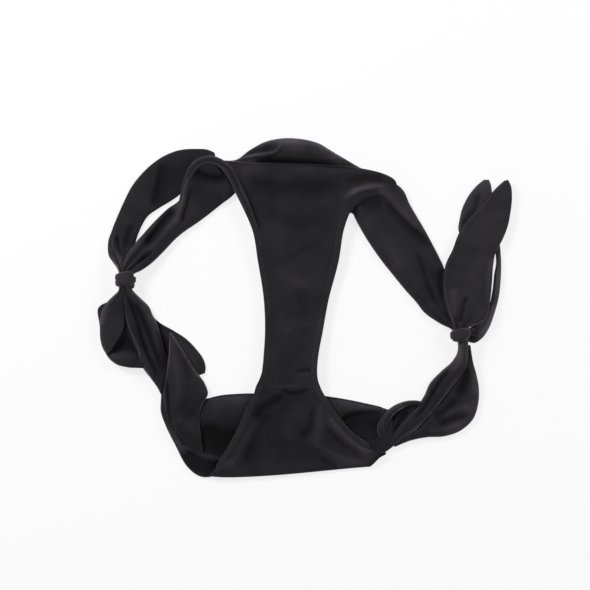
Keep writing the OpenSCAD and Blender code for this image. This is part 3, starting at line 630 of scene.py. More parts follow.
backBand = {
    "stations": [
        (-94, 146, -69, 114, 5.0, 1.0, 4.5),
        (-83, 146.4, -62, 110, 4.0, 0.6, 6),
        (-69, 147, -54, 108, 1.5, 0.4, 8),
        (-54.8, 156.9, -44, 107, 0.4, 0.4, 9),
        (-40.2, 164.9, -32, 106, 0.2, 0.4, 9.5),
        (-24, 168.6, -18, 105, 0.2, 0.4, 9.5),
        (1, 167.4, 2, 104, 0.2, 0.4, 9.5),
        (15.5, 163.2, 16, 102, 0.2, 0.4, 9),
        (28.5, 155.4, 28, 99, 0.2, 0.4, 9),
        (41, 148, 38, 94, 0.2, 0.4, 8.5),
        (55.5, 139.5, 48, 96, 0.2, 0.4, 8),
        (73.4, 132, 57, 90, 0.2, 0.4, 8),
        (89.2, 122.6, 63, 84, 0.2, 0.4, 7.5),
    ],
    "rim": 2.2, "fullness": 3.4, "rows": 150, "columns": 60, "ripple": 0.3, "seed": 11,
    "shades": [
        ([(-4, 160), (12, 158.5), (30, 151)], -0.6, 6, 6),
        ([(-12, 152), (8, 151), (28, 146)], -0.5, 4, 4),
        ([(-42, 157), (-33, 159.5), (-26, 161)], -0.5, 4, 4),
        ([(-57, 154.5), (-42, 162.5), (-26, 167), (0, 166.5)], 0.8, 4, 4),
        ([(-60, 147), (-46, 150), (-36, 151.6)], 0.7, 2, 4),
    ],
    "folds": [
        ([(-34, 162), (-18, 161.5), (4, 159.5), (24, 153), (44, 144)], 2.6, 5, 6),
        ([(-66, 147), (-50, 150.6), (-36, 152.6), (-29, 154.4), (-25.5, 158), (-22, 165)], 2.2, 1.3, 1.6),
        ([(-58, 153), (-44, 156.5), (-32, 158.5)], -1.2, 3, 3),
        ([(-54, 142), (-19, 141.5), (21, 138), (40, 135)], -6.0, 5, 9),
        ([(-60, 124), (-10, 122), (40, 112)], -4.0, 14, 14),
    ],
}
backBandCloth = bunchedPiece("backBand", [backBand], "back_band")
print("back band folded")


# Doubled band along the front waist, seen through both leg openings

frontBand = {
    "stations": [
        (-126, -95, -143.6, -92, 0.4, 0.4, 4.2),
        (-119, -97, -143.8, -104, 0.4, 0.4, 4.4),
        (-111, -94.6, -139.2, -118, 0.4, 0.4, 4.8),
        (-104, -93, -129.4, -138, 0.4, 0.4, 5.2),
        (-97, -91.2, -117.4, -159.6, 0.4, 0.4, 6.4),
        (-83, -89.2, -103.8, -169.6, 0.4, 0.4, 7.2),
        (-67, -87.8, -84, -168.4, 0.4, 0.4, 7.4),
        (-45, -87.2, -52, -165, 0.4, 0.4, 7.0),
        (-10, -87.8, -10, -161, 0.4, 0.4, 6.6),
        (22, -90.2, 18, -158, 0.4, 0.4, 7.0),
        (43, -93.4, 44, -155, 0.4, 0.4, 7.4),
        (64, -97.6, 68, -151.5, 0.4, 0.4, 7.2),
        (78, -100.6, 83, -143.8, 0.4, 0.4, 7.0),
        (87, -103.6, 89.6, -138.6, 0.4, 0.4, 6.6),
    ],
    "rim": 2.2, "fullness": 3.6, "rows": 170, "columns": 60, "ripple": 0.3, "seed": 17,
    "shades": [
        ([(-104, -122), (-90, -130), (-80, -146), (-78, -158)], -0.6, 10, 10),
        ([(-84, -102), (-74, -112), (-68, -126)], -0.5, 8, 8),
        ([(18, -95), (45, -100.5), (80, -107)], 0.4, 6, 6),
        ([(54, -114), (66, -126), (74, -136)], 0.35, 8, 8),
    ],
    "folds": [
        ([(-100, -97), (-83, -94), (-60, -92.5), (-45, -92)], 0.8, 4, 6),
        ([(-110, -130), (-94, -131), (-78, -134), (-62, -139)], -4.2, 12, 11),
        ([(-108, -141), (-95, -143), (-82, -147)], -2.0, 6, 4),
        ([(-110, -145), (-98, -148.5), (-84, -151), (-74, -152)], 1.4, 1.8, 3),
        ([(-124, -142), (-108, -156), (-94, -161), (-76, -161)], -3.2, 8, 8),
        ([(-96, -163), (-111, -155), (-125, -134), (-137, -112)], 1.4, 3.5, 3.5),
        ([(28, -95), (44, -98), (64, -102), (82, -106)], 0.8, 4, 5),
        ([(32, -118), (44, -110), (57, -106.5), (80, -107)], -2.4, 3, 6),
        ([(36, -128), (50, -121), (66, -120), (80, -122)], -3.6, 10, 14),
    ],
}
frontBandCloth = bunchedPiece("frontBand", [frontBand], "front_band")
print("front band folded")


# Left back tie: the wing turns over under the leg edge and gathers into the left knot

leftBackTie = {
    "stations": [
        (-92, 146.8, -68.5, 114.5, 8.6, 3.2, 5.4),
        (-103.5, 145.4, -74.5, 108.8, 8.6, 2.4, 5.4),
        (-112, 139.6, -81.5, 103.8, 8.4, 1.4, 5.4),
        (-118.2, 129, -89.5, 97.5, 8.0, 0.6, 5.4),
        (-121.6, 117.4, -98.3, 90.6, 7.0, 0.4, 5.6),
        (-125, 107, -107.2, 84, 4.6, 0.4, 7.0),
        (-136.5, 98.3, -117.7, 76.9, 3.4, 0.4, 7.4),
        (-151.3, 84, -129.6, 67.3, 2.4, 0.6, 8.2),
        (-161.3, 72.8, -141.2, 54.9, 3.0, 1.2, 9.4),
        (-170.8, 61.6, -152.3, 44, 4.0, 2.4, 10.6),
        (-178, 50, -162.8, 36.4, 5.0, 4.4, 11.6),
        (-182.5, 40, -169.8, 33, 5.6, 5.6, 12.0),
        (-182, 33, -173, 30, 6.0, 6.0, 11.0),
    ],
    "rim": 2.0, "fullness": 2.8, "rows": 190, "columns": 64, "ripple": 0.25, "seed": 21,
    "shades": [
        ([(-118, 128), (-104, 133), (-80, 131)], -0.7, 8, 8),
        ([(-116, 116), (-98, 112), (-78, 110)], -0.4, 9, 9),
    ],
    "gathers": [{"count": 3.2, "depth": 1.3, "reach": 0.24, "phase": 0.1, "fromStart": False}],
    "folds": [
        ([(-109, 138), (-103, 131.5), (-90, 128), (-75, 129)], -2.2, 3.4, 5),
        ([(-113, 137), (-118.5, 122), (-121, 108), (-126, 88), (-130, 76)], 1.6, 2.4, 3.4),
        ([(-112, 122), (-116, 108), (-120, 94), (-124, 82)], -1.2, 3.2, 1.6),
        ([(-128, 99), (-138, 87), (-149, 73), (-160, 58)], -3.0, 3.6, 4.4),
        ([(-126, 92), (-134, 80), (-146, 64), (-160, 49)], 1.1, 3.6, 3.4),
        ([(-144, 86), (-154, 75), (-164, 63), (-173, 50)], 0.8, 2.4, 2.2),
        ([(-150, 56), (-158, 49.5), (-167, 42)], -1.3, 2.0, 2.2),
    ],
}
leftBackTieCloth = bunchedPiece("leftBackTie", [leftBackTie], "left_back_tie")


# Right back tie, with a strip of its outer edge folded over

rightBackTie = {
    "stations": [
        (40.5, 109, 81.4, 125.6, 1.0, 3.0, 9.4),
        (45, 101, 91.2, 122.6, 1.0, 4.6, 10.0),
        (51.4, 86.8, 99.2, 115.8, 0.6, 2.8, 9.4),
        (59.4, 72.2, 104.6, 104.2, 0.4, 0.6, 8.0),
        (68.4, 58.2, 111, 92.8, 0.4, 0.4, 7.4),
        (79.4, 43.1, 119.6, 78.4, 0.4, 0.4, 6.8),
        (90.3, 29.5, 128.2, 62.4, 0.4, 0.4, 6.4),
        (101.2, 16.3, 135, 49.2, 0.4, 0.4, 6.2),
        (111.2, 5.2, 139.8, 38, 0.4, 0.4, 6.4),
        (119.7, -5.6, 142.4, 20, 0.6, 0.4, 6.4),
        (129, -12.6, 145, 4, 1.2, 0.8, 6.6),
        (137.6, -17.8, 149, -8, 2.4, 2.2, 7.4),
        (146, -22, 153, -17, 3.6, 3.6, 8.6),
        (150, -26, 156, -22, 5.0, 5.0, 9.0),
    ],
    "rim": 2.0, "fullness": 3.2, "rows": 170, "columns": 60, "ripple": 0.3, "seed": 27,
    "shades": [
        ([(56, 100), (80, 64), (108, 28)], 0.35, 14, 14),
        ([(128, 40), (126, 20), (130, 0)], -0.4, 8, 10),
    ],
    "gathers": [{"count": 2.6, "depth": 0.9, "reach": 0.24, "phase": 0.35, "fromStart": False}],
    "folds": [
        ([(54, 98), (68, 104), (80, 104)], -0.9, 5, 8),
        ([(63, 120.5), (74, 114.4), (83, 108.3), (92, 98.3), (100.5, 89.5), (108, 82), (117, 75), (126, 65)],
         1.7, 8, 1.6),
        ([(78, 108), (90, 96), (104, 82), (118, 68), (128, 54)], -1.1, 2.5, 6),
        ([(110, 58), (118, 38), (125, 18), (137, -6)], -1.2, 2.6, 2.2),
        ([(119, 44), (124, 28), (132, 10), (143, -12)], 0.8, 2.4, 2.6),
        ([(104, 36), (113, 22), (123, 5), (134, -10)], 0.6, 3.4, 2.8),
        ([(135, 40), (136, 24), (139, 6)], -1.2, 3, 3),
        ([(70, 70), (86, 54), (100, 36)], 0.7, 8, 8),
    ],
}
rightBackTieCloth = bunchedPiece("rightBackTie", [rightBackTie], "right_back_tie")
print("back ties gathered")


# Left front tie: a pouch and pleats under the left knot, then a wide strap over the band

leftPouchUnder = {
    "stations": [
        (-190, 8, -176, 8, 6.5, 7.5, 4),
        (-205.9, -1, -175, -5, 4.2, 5.6, 3.6),
        (-205.2, -16, -174.5, -18, 1.6, 3.6, 5.8),
        (-202.8, -32, -166.5, -34, 0.5, 1.2, 7.0),
        (-200.4, -43, -158, -46, 0.4, 1.2, 6.2),
        (-195.2, -51.8, -156, -54, 0.4, 1.2, 10.0),
        (-186.8, -57.8, -156, -58.8, 0.8, 1.6, 9.6),
        (-176, -60.4, -160, -61, 2.2, 3.0, 6.4),
    ],
    "rim": 1.8, "fullness": 4, "rows": 90, "columns": 44, "ripple": 0.2, "seed": 33,
    "shades": [([(-198, -42), (-180, -38), (-168, -48), (-160, -56)], -0.7, 9, 9)],
    "folds": [
        ([(-196.5, -47.5), (-187, -48), (-175, -47), (-164, -50)], 1.2, 2.4, 6),
        ([(-184, -28), (-176, -34), (-166, -42), (-158, -49)], -0.8, 6, 9),
    ],
}
leftPouchOver = {
    "stations": [
        (-184.4, 24.5, -178, 24.5, 8.0, 8.0, 13.2),
        (-185.8, 16, -178, 15.5, 7.0, 7.0, 12.0),
        (-189.9, 12, -178.4, 9, 6.4, 7.4, 10.8),
        (-196.6, 5.4, -179, 2, 6.4, 8.4, 9.0),
        (-201.8, -2.5, -179.4, -8, 6.4, 9.6, 8.0),
        (-203.8, -12, -179.8, -16.5, 6.4, 10.8, 7.0),
        (-204.2, -22.5, -181, -22.5, 6.4, 11.8, 6.0),
        (-203.6, -33, -186.8, -33.5, 6.0, 12.2, 5.0),
        (-201.2, -41.6, -191.8, -41.3, 5.6, 11.4, 4.0),
        (-198, -47, -195, -45.2, 5.4, 8.6, 3.2),
    ],
    "rim": 1.2, "fullness": 2.2, "rows": 100, "columns": 40, "ripple": 0.25, "seed": 35,
    "gathers": [{"count": 2.0, "depth": 0.9, "reach": 0.22, "phase": 0.2, "fromStart": True}],
    "folds": [
        ([(-183, 12), (-192, 2), (-198, -8), (-200, -22)], 1.2, 3, 3),
        ([(-184, 11), (-190, 4), (-195, -4)], -1.2, 1.6, 1.8),
    ],
}
leftPleats = {
    "stations": [
        (-181.8, 25, -175, 25, 8.0, 8.0, 13.8),
        (-182, 16, -171, 16.5, 6.0, 6.0, 12.4),
        (-182.6, 8, -163.8, 9.3, 5.6, 5.6, 12.0),
        (-182.8, -4, -155, 0.3, 5.4, 5.4, 11.2),
        (-181.6, -13, -151.4, -8, 5.3, 5.3, 10.8),
        (-178.4, -22, -148, -14.4, 5.2, 5.2, 10.4),
        (-173.8, -33, -144, -27, 5.0, 5.2, 9.8),
        (-167.2, -47, -139.5, -43, 4.6, 5.2, 9.4),
        (-161, -61.4, -136, -58, 4.8, 5.0, 8.4),
        (-153, -72, -138, -70, 4.8, 4.8, 6.8),
        (-146.4, -81.4, -140.2, -80, 4.4, 4.4, 5.0),
        (-143.6, -87, -141, -87, 4.0, 4.0, 3.0),
    ],
    "lean": 1.2, "softSides": (9, 0), "softFrom": 0.3, "softTill": 0.7, "roundEnds": (0.03, 0.08),
    "edgeTone": 0.0,
    "rim": 1.4, "fullness": 2.4, "rows": 150, "columns": 64, "ripple": 0.2, "seed": 37,
    "shades": [
        ([(-180, 12), (-176, -12), (-170, -26), (-160, -48)], -0.9, 5, 5),
        ([(-170, 12), (-160, -1), (-150, -16)], 0.5, 4, 4),
    ],
    "gathers": [{"count": 3.0, "depth": 1.1, "reach": 0.26, "phase": 0.0, "fromStart": True}],
    "folds": [
        ([(-177, 12), (-172, -1), (-166.5, -17), (-162, -33), (-155, -52), (-145, -74)], -2.8, 4.6, 1.3),
        ([(-178, 2), (-174.5, -18), (-168, -38), (-160, -56), (-150, -74)], 0.6, 4, 4),
        ([(-174, 10), (-166, -10), (-159, -30), (-152.5, -47), (-144, -66)], 0.6, 3, 3),
        ([(-171, 10), (-161.5, -12), (-154, -32), (-147.5, -50), (-141, -68)], -2.6, 4.4, 1.3),
        ([(-168, 10), (-157, -7), (-150.5, -20), (-147, -36), (-143, -52)], 0.8, 3.2, 3.2),
        ([(-148, -20), (-142.5, -36), (-139, -52), (-140, -68)], -1.4, 3.4, 3.2),
        ([(-181.5, -10), (-178, -23), (-173, -35), (-166, -49)], -1.5, 3.4, 3),
    ],
}
leftStrap = {
    "stations": [
        (-134.4, -25.4, -133, -25.8, 8.0, 8.0, 3.0),
        (-134.8, -33.5, -127.4, -33.5, 7.2, 6.4, 7.0),
        (-135.6, -47.5, -118.6, -47.5, 7.2, 5.6, 9.2),
        (-138.4, -62, -109.4, -62.6, 7.2, 5.4, 9.6),
        (-141.4, -76, -99.6, -76, 6.8, 5.4, 9.6),
        (-143.2, -88, -96.4, -87, 3.6, 5.4, 9.6),
        (-142.8, -99, -101.6, -96.6, 2.8, 5.4, 9.2),
        (-139.8, -111, -104.8, -108, 2.8, 5.4, 8.8),
        (-135.2, -121.6, -104.4, -120.5, 3.2, 5.4, 8.2),
        (-130.6, -130.8, -103, -132.5, 3.6, 5.4, 7.6),
        (-126.6, -137.4, -101.8, -141, 3.8, 5.2, 6.6),
        (-122.6, -141.6, -100.8, -147.8, 3.6, 4.6, 5.0),
    ],
    "softSides": (9, 0), "softFrom": 0.62, "edgeTone": 0.1,
    "roundEnds": (0, 0.1),
    "rim": 1.2, "fullness": 2.0, "rows": 150, "columns": 64, "ripple": 0.3, "seed": 39,
    "shades": [
        ([(-130, -114), (-116, -128), (-100, -142)], -0.6, 9, 9),
        ([(-99, -74), (-99, -90), (-104, -108)], 0.5, 6, 6),
    ],
    "folds": [
        ([(-133, -30), (-128.5, -48), (-125.5, -70), (-124, -92), (-125, -108)], 0.8, 3.6, 4.6),
        ([(-131, -36), (-119, -58), (-111, -76)], -0.8, 3, 4.5),
        ([(-138, -66), (-135.6, -88), (-135, -104), (-131.5, -118), (-124, -131), (-113, -141)],
         -1.5, 2.4, 2.2),
        ([(-118, -88), (-122, -100), (-116, -108), (-107, -104)], -0.8, 5, 5),
        ([(-128, -108), (-118, -118), (-107, -122)], 0.7, 5, 6),
        ([(-143, -84), (-142.4, -98), (-138.4, -112), (-129, -131), (-114, -143)], -0.9, 3, 3),
    ],
}
leftFrontTieCloth = bunchedPiece("leftFrontTie", [leftPouchUnder, leftPouchOver, leftPleats, leftStrap],
                                 "left_front_tie")


# Right front tie: strands twisted like a rope, a full fold at the right and a loop at the left

rightStrandOuter = {
    "stations": [
        (152.4, -28, 162.4, -28, 6.6, 6.6, 8.8),
        (152.4, -45.2, 163.4, -46, 5.0, 5.0, 10.2),
        (147.9, -53.5, 160.4, -58.5, 4.4, 4.8, 10.2),
        (135.8, -64.8, 149.5, -73, 3.0, 4.0, 9.6),
        (125.3, -76.1, 139.5, -86, 1.8, 3.4, 9.8),
        (119.4, -89, 131, -98.5, 1.0, 3.0, 9.8),
        (113, -98.2, 122.5, -109.5, 1.4, 3.0, 9.4),
        (101.6, -110.4, 110.5, -120.5, 2.0, 3.0, 8.6),
        (91, -124, 98.5, -130, 2.4, 2.8, 7.4),
        (84, -137, 88.5, -139, 2.4, 2.4, 4.6),
    ],
    "rim": 1.8, "fullness": 2.3, "rows": 130, "columns": 40, "ripple": 0.2, "seed": 43,
    "shades": [
        ([(156, -24), (157, -44), (150, -64)], 0.4, 6, 6),
        ([(147, -60), (137.6, -70), (127.6, -86), (119, -100), (107, -114)], -1.1, 1.6, 1.6),
    ],
    "folds": [
        ([(147, -60), (137.6, -70), (127.6, -86), (119, -100), (107, -114)], -1.0, 2.2, 2.2),
        ([(156, -24), (156.5, -40), (153, -56), (142, -69)], 1.4, 3, 3),
    ],
}
rightStrandInner = {
    "stations": [
        (156.4, -29, 162.2, -29, 6.8, 6.8, 6.6),
        (157, -45.6, 164.4, -45, 5.0, 5.0, 8.0),
        (156.6, -57, 165.6, -56.5, 4.6, 3.4, 7.4),
        (147, -70, 160.5, -66.5, 4.0, 2.4, 7.4),
        (137, -84, 149.5, -80, 3.4, 1.8, 7.4),
        (128, -97, 139, -93.5, 3.0, 1.4, 7.2),
        (119, -108.5, 129.5, -105.5, 2.6, 1.2, 7.0),
        (108, -120, 118.5, -117.5, 2.2, 1.2, 6.4),
        (97, -129.5, 106, -128, 2.0, 1.4, 6.0),
        (86, -138.6, 90, -137.8, 2.0, 2.0, 4.4),
    ],
    "softSides": (0, 7), "softFrom": 0.3, "edgeTone": -0.5,
    "rim": 1.8, "fullness": 2.3, "rows": 130, "columns": 40, "ripple": 0.2, "seed": 45,
    "shades": [([(160, -24), (161, -44), (156, -62)], 0.4, 6, 6)],
    "folds": [
        ([(161, -50), (153, -67), (141, -84), (128, -101)], 0.6, 3, 2.4),
        ([(159, -24), (160.5, -38), (161, -50), (156, -62)], 1.3, 3, 3),
    ],
}
rightFullFold = {
    "stations": [
        (161, -38, 165.4, -38, 5.4, 5.4, 6.0),
        (162.5, -52, 168.4, -55.6, 4.2, 3.4, 7.6),
        (154, -62, 171.8, -67.2, 2.6, 1.4, 8.6),
        (147, -73, 174.4, -81, 1.4, 0.6, 9.0),
        (139, -83, 173.8, -96.6, 0.8, 0.4, 9.0),
        (131, -93, 168.2, -112.8, 0.6, 0.4, 8.6),
        (125, -101, 156, -123.8, 0.6, 0.4, 8.2),
        (118, -110, 139.6, -129.4, 0.6, 0.4, 7.6),
        (113, -120.5, 122.4, -130.3, 0.6, 0.4, 7.0),
        (101, -128, 106, -133.6, 0.6, 0.6, 6.2),
        (87.5, -136, 90, -140, 0.8, 0.8, 4.6),
    ],
    "rim": 2.0, "fullness": 2.6, "rows": 140, "columns": 54, "ripple": 0.25, "seed": 47,
    "shades": [
        ([(168, -60), (172, -88), (162, -111), (146, -125), (122, -129)], 0.7, 6, 6),
        ([(163, -64), (160, -78), (154, -89), (146, -98)], -0.8, 4, 4),
    ],
    "folds": [
        ([(163, -58), (159, -73), (151, -90)], -1.7, 5, 4),
        ([(166, -56), (169, -74), (169.5, -92)], 1.2, 3, 3),
        ([(152, -93), (140, -104), (128, -112)], -1.3, 3, 4),
        ([(167, -100), (152, -103), (138, -111)], 1.0, 4, 4),
        ([(166, -108), (148, -112), (132, -118)], -1.4, 3.4, 3.4),
        ([(160, -116), (140, -122), (120, -125)], 1.0, 3, 3),
    ],
}
rightLoopFloor = {
    "stations": [
        (118, -96, 122, -102, 0.6, 0.6, 6.0),
        (106, -96, 114, -110, 0.6, 0.6, 6.4),
        (94, -99, 104, -121, 0.6, 0.6, 6.4),
        (86, -106, 95, -131, 0.6, 0.6, 6.0),
        (82, -118, 88, -137, 0.6, 0.6, 5.6),
    ],
    # tone: painted shade on the floor inside the loop
    "rim": 1.8, "fullness": 3, "rows": 60, "columns": 36, "ripple": 0.2, "seed": 49, "tone": -0.6,
    "folds": [
        ([(104, -103), (96, -114), (90, -127)], -1.2, 2.2, 2.2),
        ([(93, -101), (87, -110), (84, -122)], -1.6, 2.2, 2.2),
    ],
}
rightLoopRing = {
    "stations": [
        (118.5, -94.2, 116.5, -98.5, 5.0, 5.0, 5.0),
        (110, -93.1, 109, -98, 4.4, 4.4, 6.6),
        (101, -93.8, 101.6, -99, 3.6, 3.6, 7.6),
        (91.7, -97.1, 95, -102.5, 2.6, 3.0, 8.4),
        (83.5, -102.7, 88.6, -108, 1.6, 2.4, 9.0),
        (77, -109.5, 84.6, -114.5, 1.0, 2.0, 9.2),
        (73, -117.5, 82.4, -121, 0.8, 1.6, 9.0),
        (73.5, -127, 82, -128, 0.8, 1.4, 8.4),
        (78, -135, 83.5, -133.5, 0.8, 1.2, 7.2),
        (83, -140, 86, -137.5, 0.8, 1.0, 5.4),
    ],
    "rim": 1.8, "fullness": 2.4, "rows": 100, "columns": 36, "ripple": 0.2, "seed": 51, "edgeTone": -0.2,
    "folds": [([(104, -96.5), (90, -102), (79, -113), (77, -126)], 0.9, 1.6, 1.8)],
}
rightFrontTieCloth = bunchedPiece(
    "rightFrontTie", [rightStrandOuter, rightStrandInner, rightFullFold, rightLoopFloor, rightLoopRing],
    "right_front_tie")
print("front ties gathered")


# Four free tails of doubled cloth, each on its own body

leftUpperTail = {
    "stations": [
        (-184.5, 33, -177, 33.5, 6.0, 6.0, 10.0),
        (-186.8, 38.5, -176, 39.5, 5.2, 5.2, 10.6),
        (-190.6, 43.5, -173.6, 47, 3.2, 3.6, 9.6),
        (-195.8, 51.5, -171, 55, 1.0, 1.6, 7.0),
        (-196.6, 63, -169.4, 62.8, 0.3, 0.3, 5.0),
        (-192.4, 77.4, -164.8, 76.5, 0.2, 0.2, 4.2),
        (-186.9, 91.2, -157.2, 90.1, 0.2, 0.2, 4.0),
        (-180.4, 105.8, -146.4, 98.2, 0.2, 0.2, 4.0),
        (-172.8, 120.6, -135, 105.1, 0.2, 0.2, 3.9),
        (-162.5, 133.6, -124.2, 112.6, 0.2, 0.2, 3.8),
        (-150.2, 144.8, -114.2, 121.5, 0.2, 0.2, 3.8),
        (-138.4, 152.2, -106.2, 131, 0.2, 0.2, 3.7),
        (-123.7, 157.2, -99.6, 139.5, 0.2, 0.2, 3.6),
        (-108, 158.2, -95.2, 145.4, 0.2, 0.2, 3.4),
        (-96, 157.2, -91, 149.6, 0.2, 0.2, 3.0),
        (-90.2, 154.6, -89.2, 151.2, 0.2, 0.2, 2.4),
    ],
    "rim": 2.2, "fullness": 3.6, "rows": 170, "columns": 54, "ripple": 0.25, "seed": 55,
    "shades": [([(-160, 104), (-134, 128), (-114, 142), (-88, 153)], -0.65, 14, 14)],
    "gathers": [{"count": 3.4, "depth": 1.7, "reach": 0.16, "phase": 0.05, "fromStart": True}],
    "folds": [
        ([(-144, 148), (-146, 128), (-150, 110), (-153, 97)], -1.6, 11, 1.6),
        ([(-191.5, 72), (-190, 60), (-184.5, 47), (-181, 40)], 1.6, 1.4, 1.6),
        ([(-187, 72), (-185.5, 60), (-181.5, 47)], -1.6, 1.6, 1.6),
        ([(-172, 84), (-176, 70), (-178, 56)], -1.2, 4, 4),
    ],
}
leftLowerTail = {
    "stations": [
        (-182.2, 13, -176, 13.6, 4.4, 4.4, 7.0),
        (-184.2, 6, -168, 8, 1.2, 1.4, 4.4),
        (-181, -8, -156, -5, 0.3, 0.3, 3.8),
        (-172, -22, -144.5, -15.8, 0.2, 0.2, 3.6),
        (-162, -35, -131, -23.5, 0.2, 0.2, 3.6),
        (-150, -47, -117.9, -32.1, 0.2, 0.2, 3.6),
        (-137, -57, -107.8, -42.6, 0.2, 0.2, 3.6),
        (-124, -64, -100.7, -52.9, 0.2, 0.2, 3.4),
        (-113, -67.6, -98.8, -61.6, 0.2, 0.2, 3.2),
        (-105.5, -68.4, -99.6, -66.2, 0.2, 0.2, 2.6),
    ],
    "rim": 2.2, "fullness": 3.6, "rows": 120, "columns": 44, "ripple": 0.2, "seed": 57,
    "shades": [([(-152, -12), (-138, -29), (-132, -46)], -0.5, 7, 7)],
    "folds": [
        ([(-150, -22), (-132, -32), (-116, -46), (-106, -60)], 0.7, 5, 4),
        ([(-140, -20), (-124, -31), (-110, -45)], -0.6, 2.5, 3),
        ([(-152, -8), (-144, -22), (-139, -38), (-136, -52)], -0.9, 6, 6),
    ],
}
rightNearTail = {
    "stations": [
        (149, -25, 161, -24, 10.4, 10.4, 5.6),
        (147.6, -19, 164, -20.4, 11.2, 11.2, 6.2),
        (145, -11, 172.5, -16.6, 11.2, 10.8, 6.4),
        (141, 2, 180.6, -10.6, 10.2, 9.6, 6.4),
        (138.3, 15, 184.4, 3, 8.8, 8.2, 6.2),
        (138.4, 30, 186.6, 22, 7.8, 7.4, 5.6),
        (141.2, 44, 188, 40.5, 6.8, 6.8, 5.2),
        (147.6, 57.2, 190.6, 54.5, 6.2, 6.0, 4.8),
        (153.8, 73.4, 197.4, 67, 5.6, 5.6, 4.6),
        (161.6, 85.6, 202.6, 80, 5.4, 5.4, 4.4),
        (171.6, 95.8, 205.6, 95, 5.2, 5.2, 4.4),
        (181.6, 107.8, 207, 109, 5.2, 5.2, 4.4),
        (191.6, 119.2, 206, 120.6, 5.2, 5.2, 4.2),
        (199.3, 126.2, 203.2, 126.8, 5.2, 5.2, 3.2),
    ],
    "softSides": (4, 0), "rim": 2.2, "fullness": 3.4, "rows": 160, "columns": 60, "ripple": 0.3, "seed": 61,
    "tone": 0.2, "edgeTone": 0.1,
    "shades": [
        ([(160, -12), (163, 24), (168, 60)], 0.25, 18, 18),
        ([(200, 84), (197, 106), (202, 126)], 0.4, 9, 9),
    ],
    "gathers": [{"count": 2.6, "depth": 1.2, "reach": 0.14, "phase": 0.3, "fromStart": True}],
    "folds": [
        ([(155, -19), (156, -8), (158, 2), (163, 12)], -1.5, 2.6, 2.2),
        ([(150, -14), (148, 2), (149, 20)], 1.2, 3, 3),
        ([(183, -6), (182, 14), (184, 36), (188, 52)], 1.3, 2.2, 1.6),
        ([(158, 66), (172, 78), (186, 84)], 0.15, 8, 8),
        ([(160, 30), (164, 48), (172, 62)], -0.5, 7, 7),
    ],
}
rightFarTail = {
    "stations": [
        (160.4, -24, 160.4, -33, 0.2, 0.2, 1.7),
        (164.4, -21.4, 165, -35.2, 0.2, 0.2, 2.0),
        (168, -18.6, 170.2, -36, 0.3, 0.3, 4.2),
        (170.6, -13, 177.2, -31.6, 0.3, 0.3, 6.4),
        (175.6, -6.5, 184.2, -21.6, 0.3, 0.3, 6.2),
        (183.8, 1, 189.4, -8, 0.2, 0.2, 5.8),
        (187.8, 16, 194.2, 10, 0.2, 0.2, 5.4),
        (189.6, 32, 196.2, 28, 0.2, 0.2, 5.2),
        (191.6, 46, 196.6, 44, 0.2, 0.2, 4.8),
        (189, 57, 195.8, 58, 0.2, 0.2, 5.2),
        (172, 65, 194.8, 68, 0.2, 0.2, 4.6),
        (154.8, 74, 193.4, 79, 0.2, 0.2, 4.2),
        (155.6, 90.4, 191.4, 91, 0.2, 0.2, 4.2),
        (159.6, 103, 189.2, 105, 0.2, 0.2, 4.2),
        (165.6, 113.6, 187.4, 115.4, 0.2, 0.2, 4.2),
        (172.6, 121.8, 186.4, 122.2, 0.2, 0.2, 4.0),
        (179.2, 127.2, 184.4, 127.2, 0.2, 0.2, 3.0),
    ],
    # tone: painted light, lifting the far tail out of the near tail's shadow
    "rim": 2.2, "fullness": 3.4, "rows": 150, "columns": 50, "ripple": 0.2, "seed": 63, "tone": 1.1,
    "shades": [([(166, -30), (176, -24), (184, -12), (190, 8)], 0.8, 8, 8)],
    "folds": [
        ([(175, 116), (171, 98), (161, 86), (156, 78)], -1.2, 2.4, 3),
        ([(168, -31), (179, -22), (187, -3), (192, 20), (194, 46)], 0.8, 3, 3),
    ],
}
rightFarNeck = {     # comes out of the knot beside the hinge
    "stations": [
        (163.2, -23, 163.2, -26.6, 6.6, 6.6, 3.6),
        (166.2, -22.4, 166.2, -27.6, 4.6, 4.6, 4.8),
        (169.6, -20.8, 170.4, -30, 2.0, 2.0, 6.0),
        (173, -16.5, 175.5, -28, 0.6, 0.6, 6.6),
        (177, -10, 181, -22, 0.5, 0.5, 5.6),
    ],
    # tone: painted light on the neck, as on its tail
    "rim": 1.8, "fullness": 2.4, "rows": 50, "columns": 30, "ripple": 0.2, "seed": 65, "tone": 0.7,
    "folds": [([(164, -25), (170, -25.5), (178, -17)], -0.8, 1.6, 1.6)],
}
tails = [
    ("leftUpperTail", [leftUpperTail], "left_upper_tail"),
    ("leftLowerTail", [leftLowerTail], "left_lower_tail"),
    ("rightNearTail", [rightNearTail], "right_near_tail"),
    ("rightFarTail", [rightFarTail, rightFarNeck], "right_far_tail"),
]
tailCloths = [bunchedPiece(name, parts, node, rides=node) for name, parts, node in tails]
print("tails laid")


# Knots: a band of cloth wound round the gathered ends

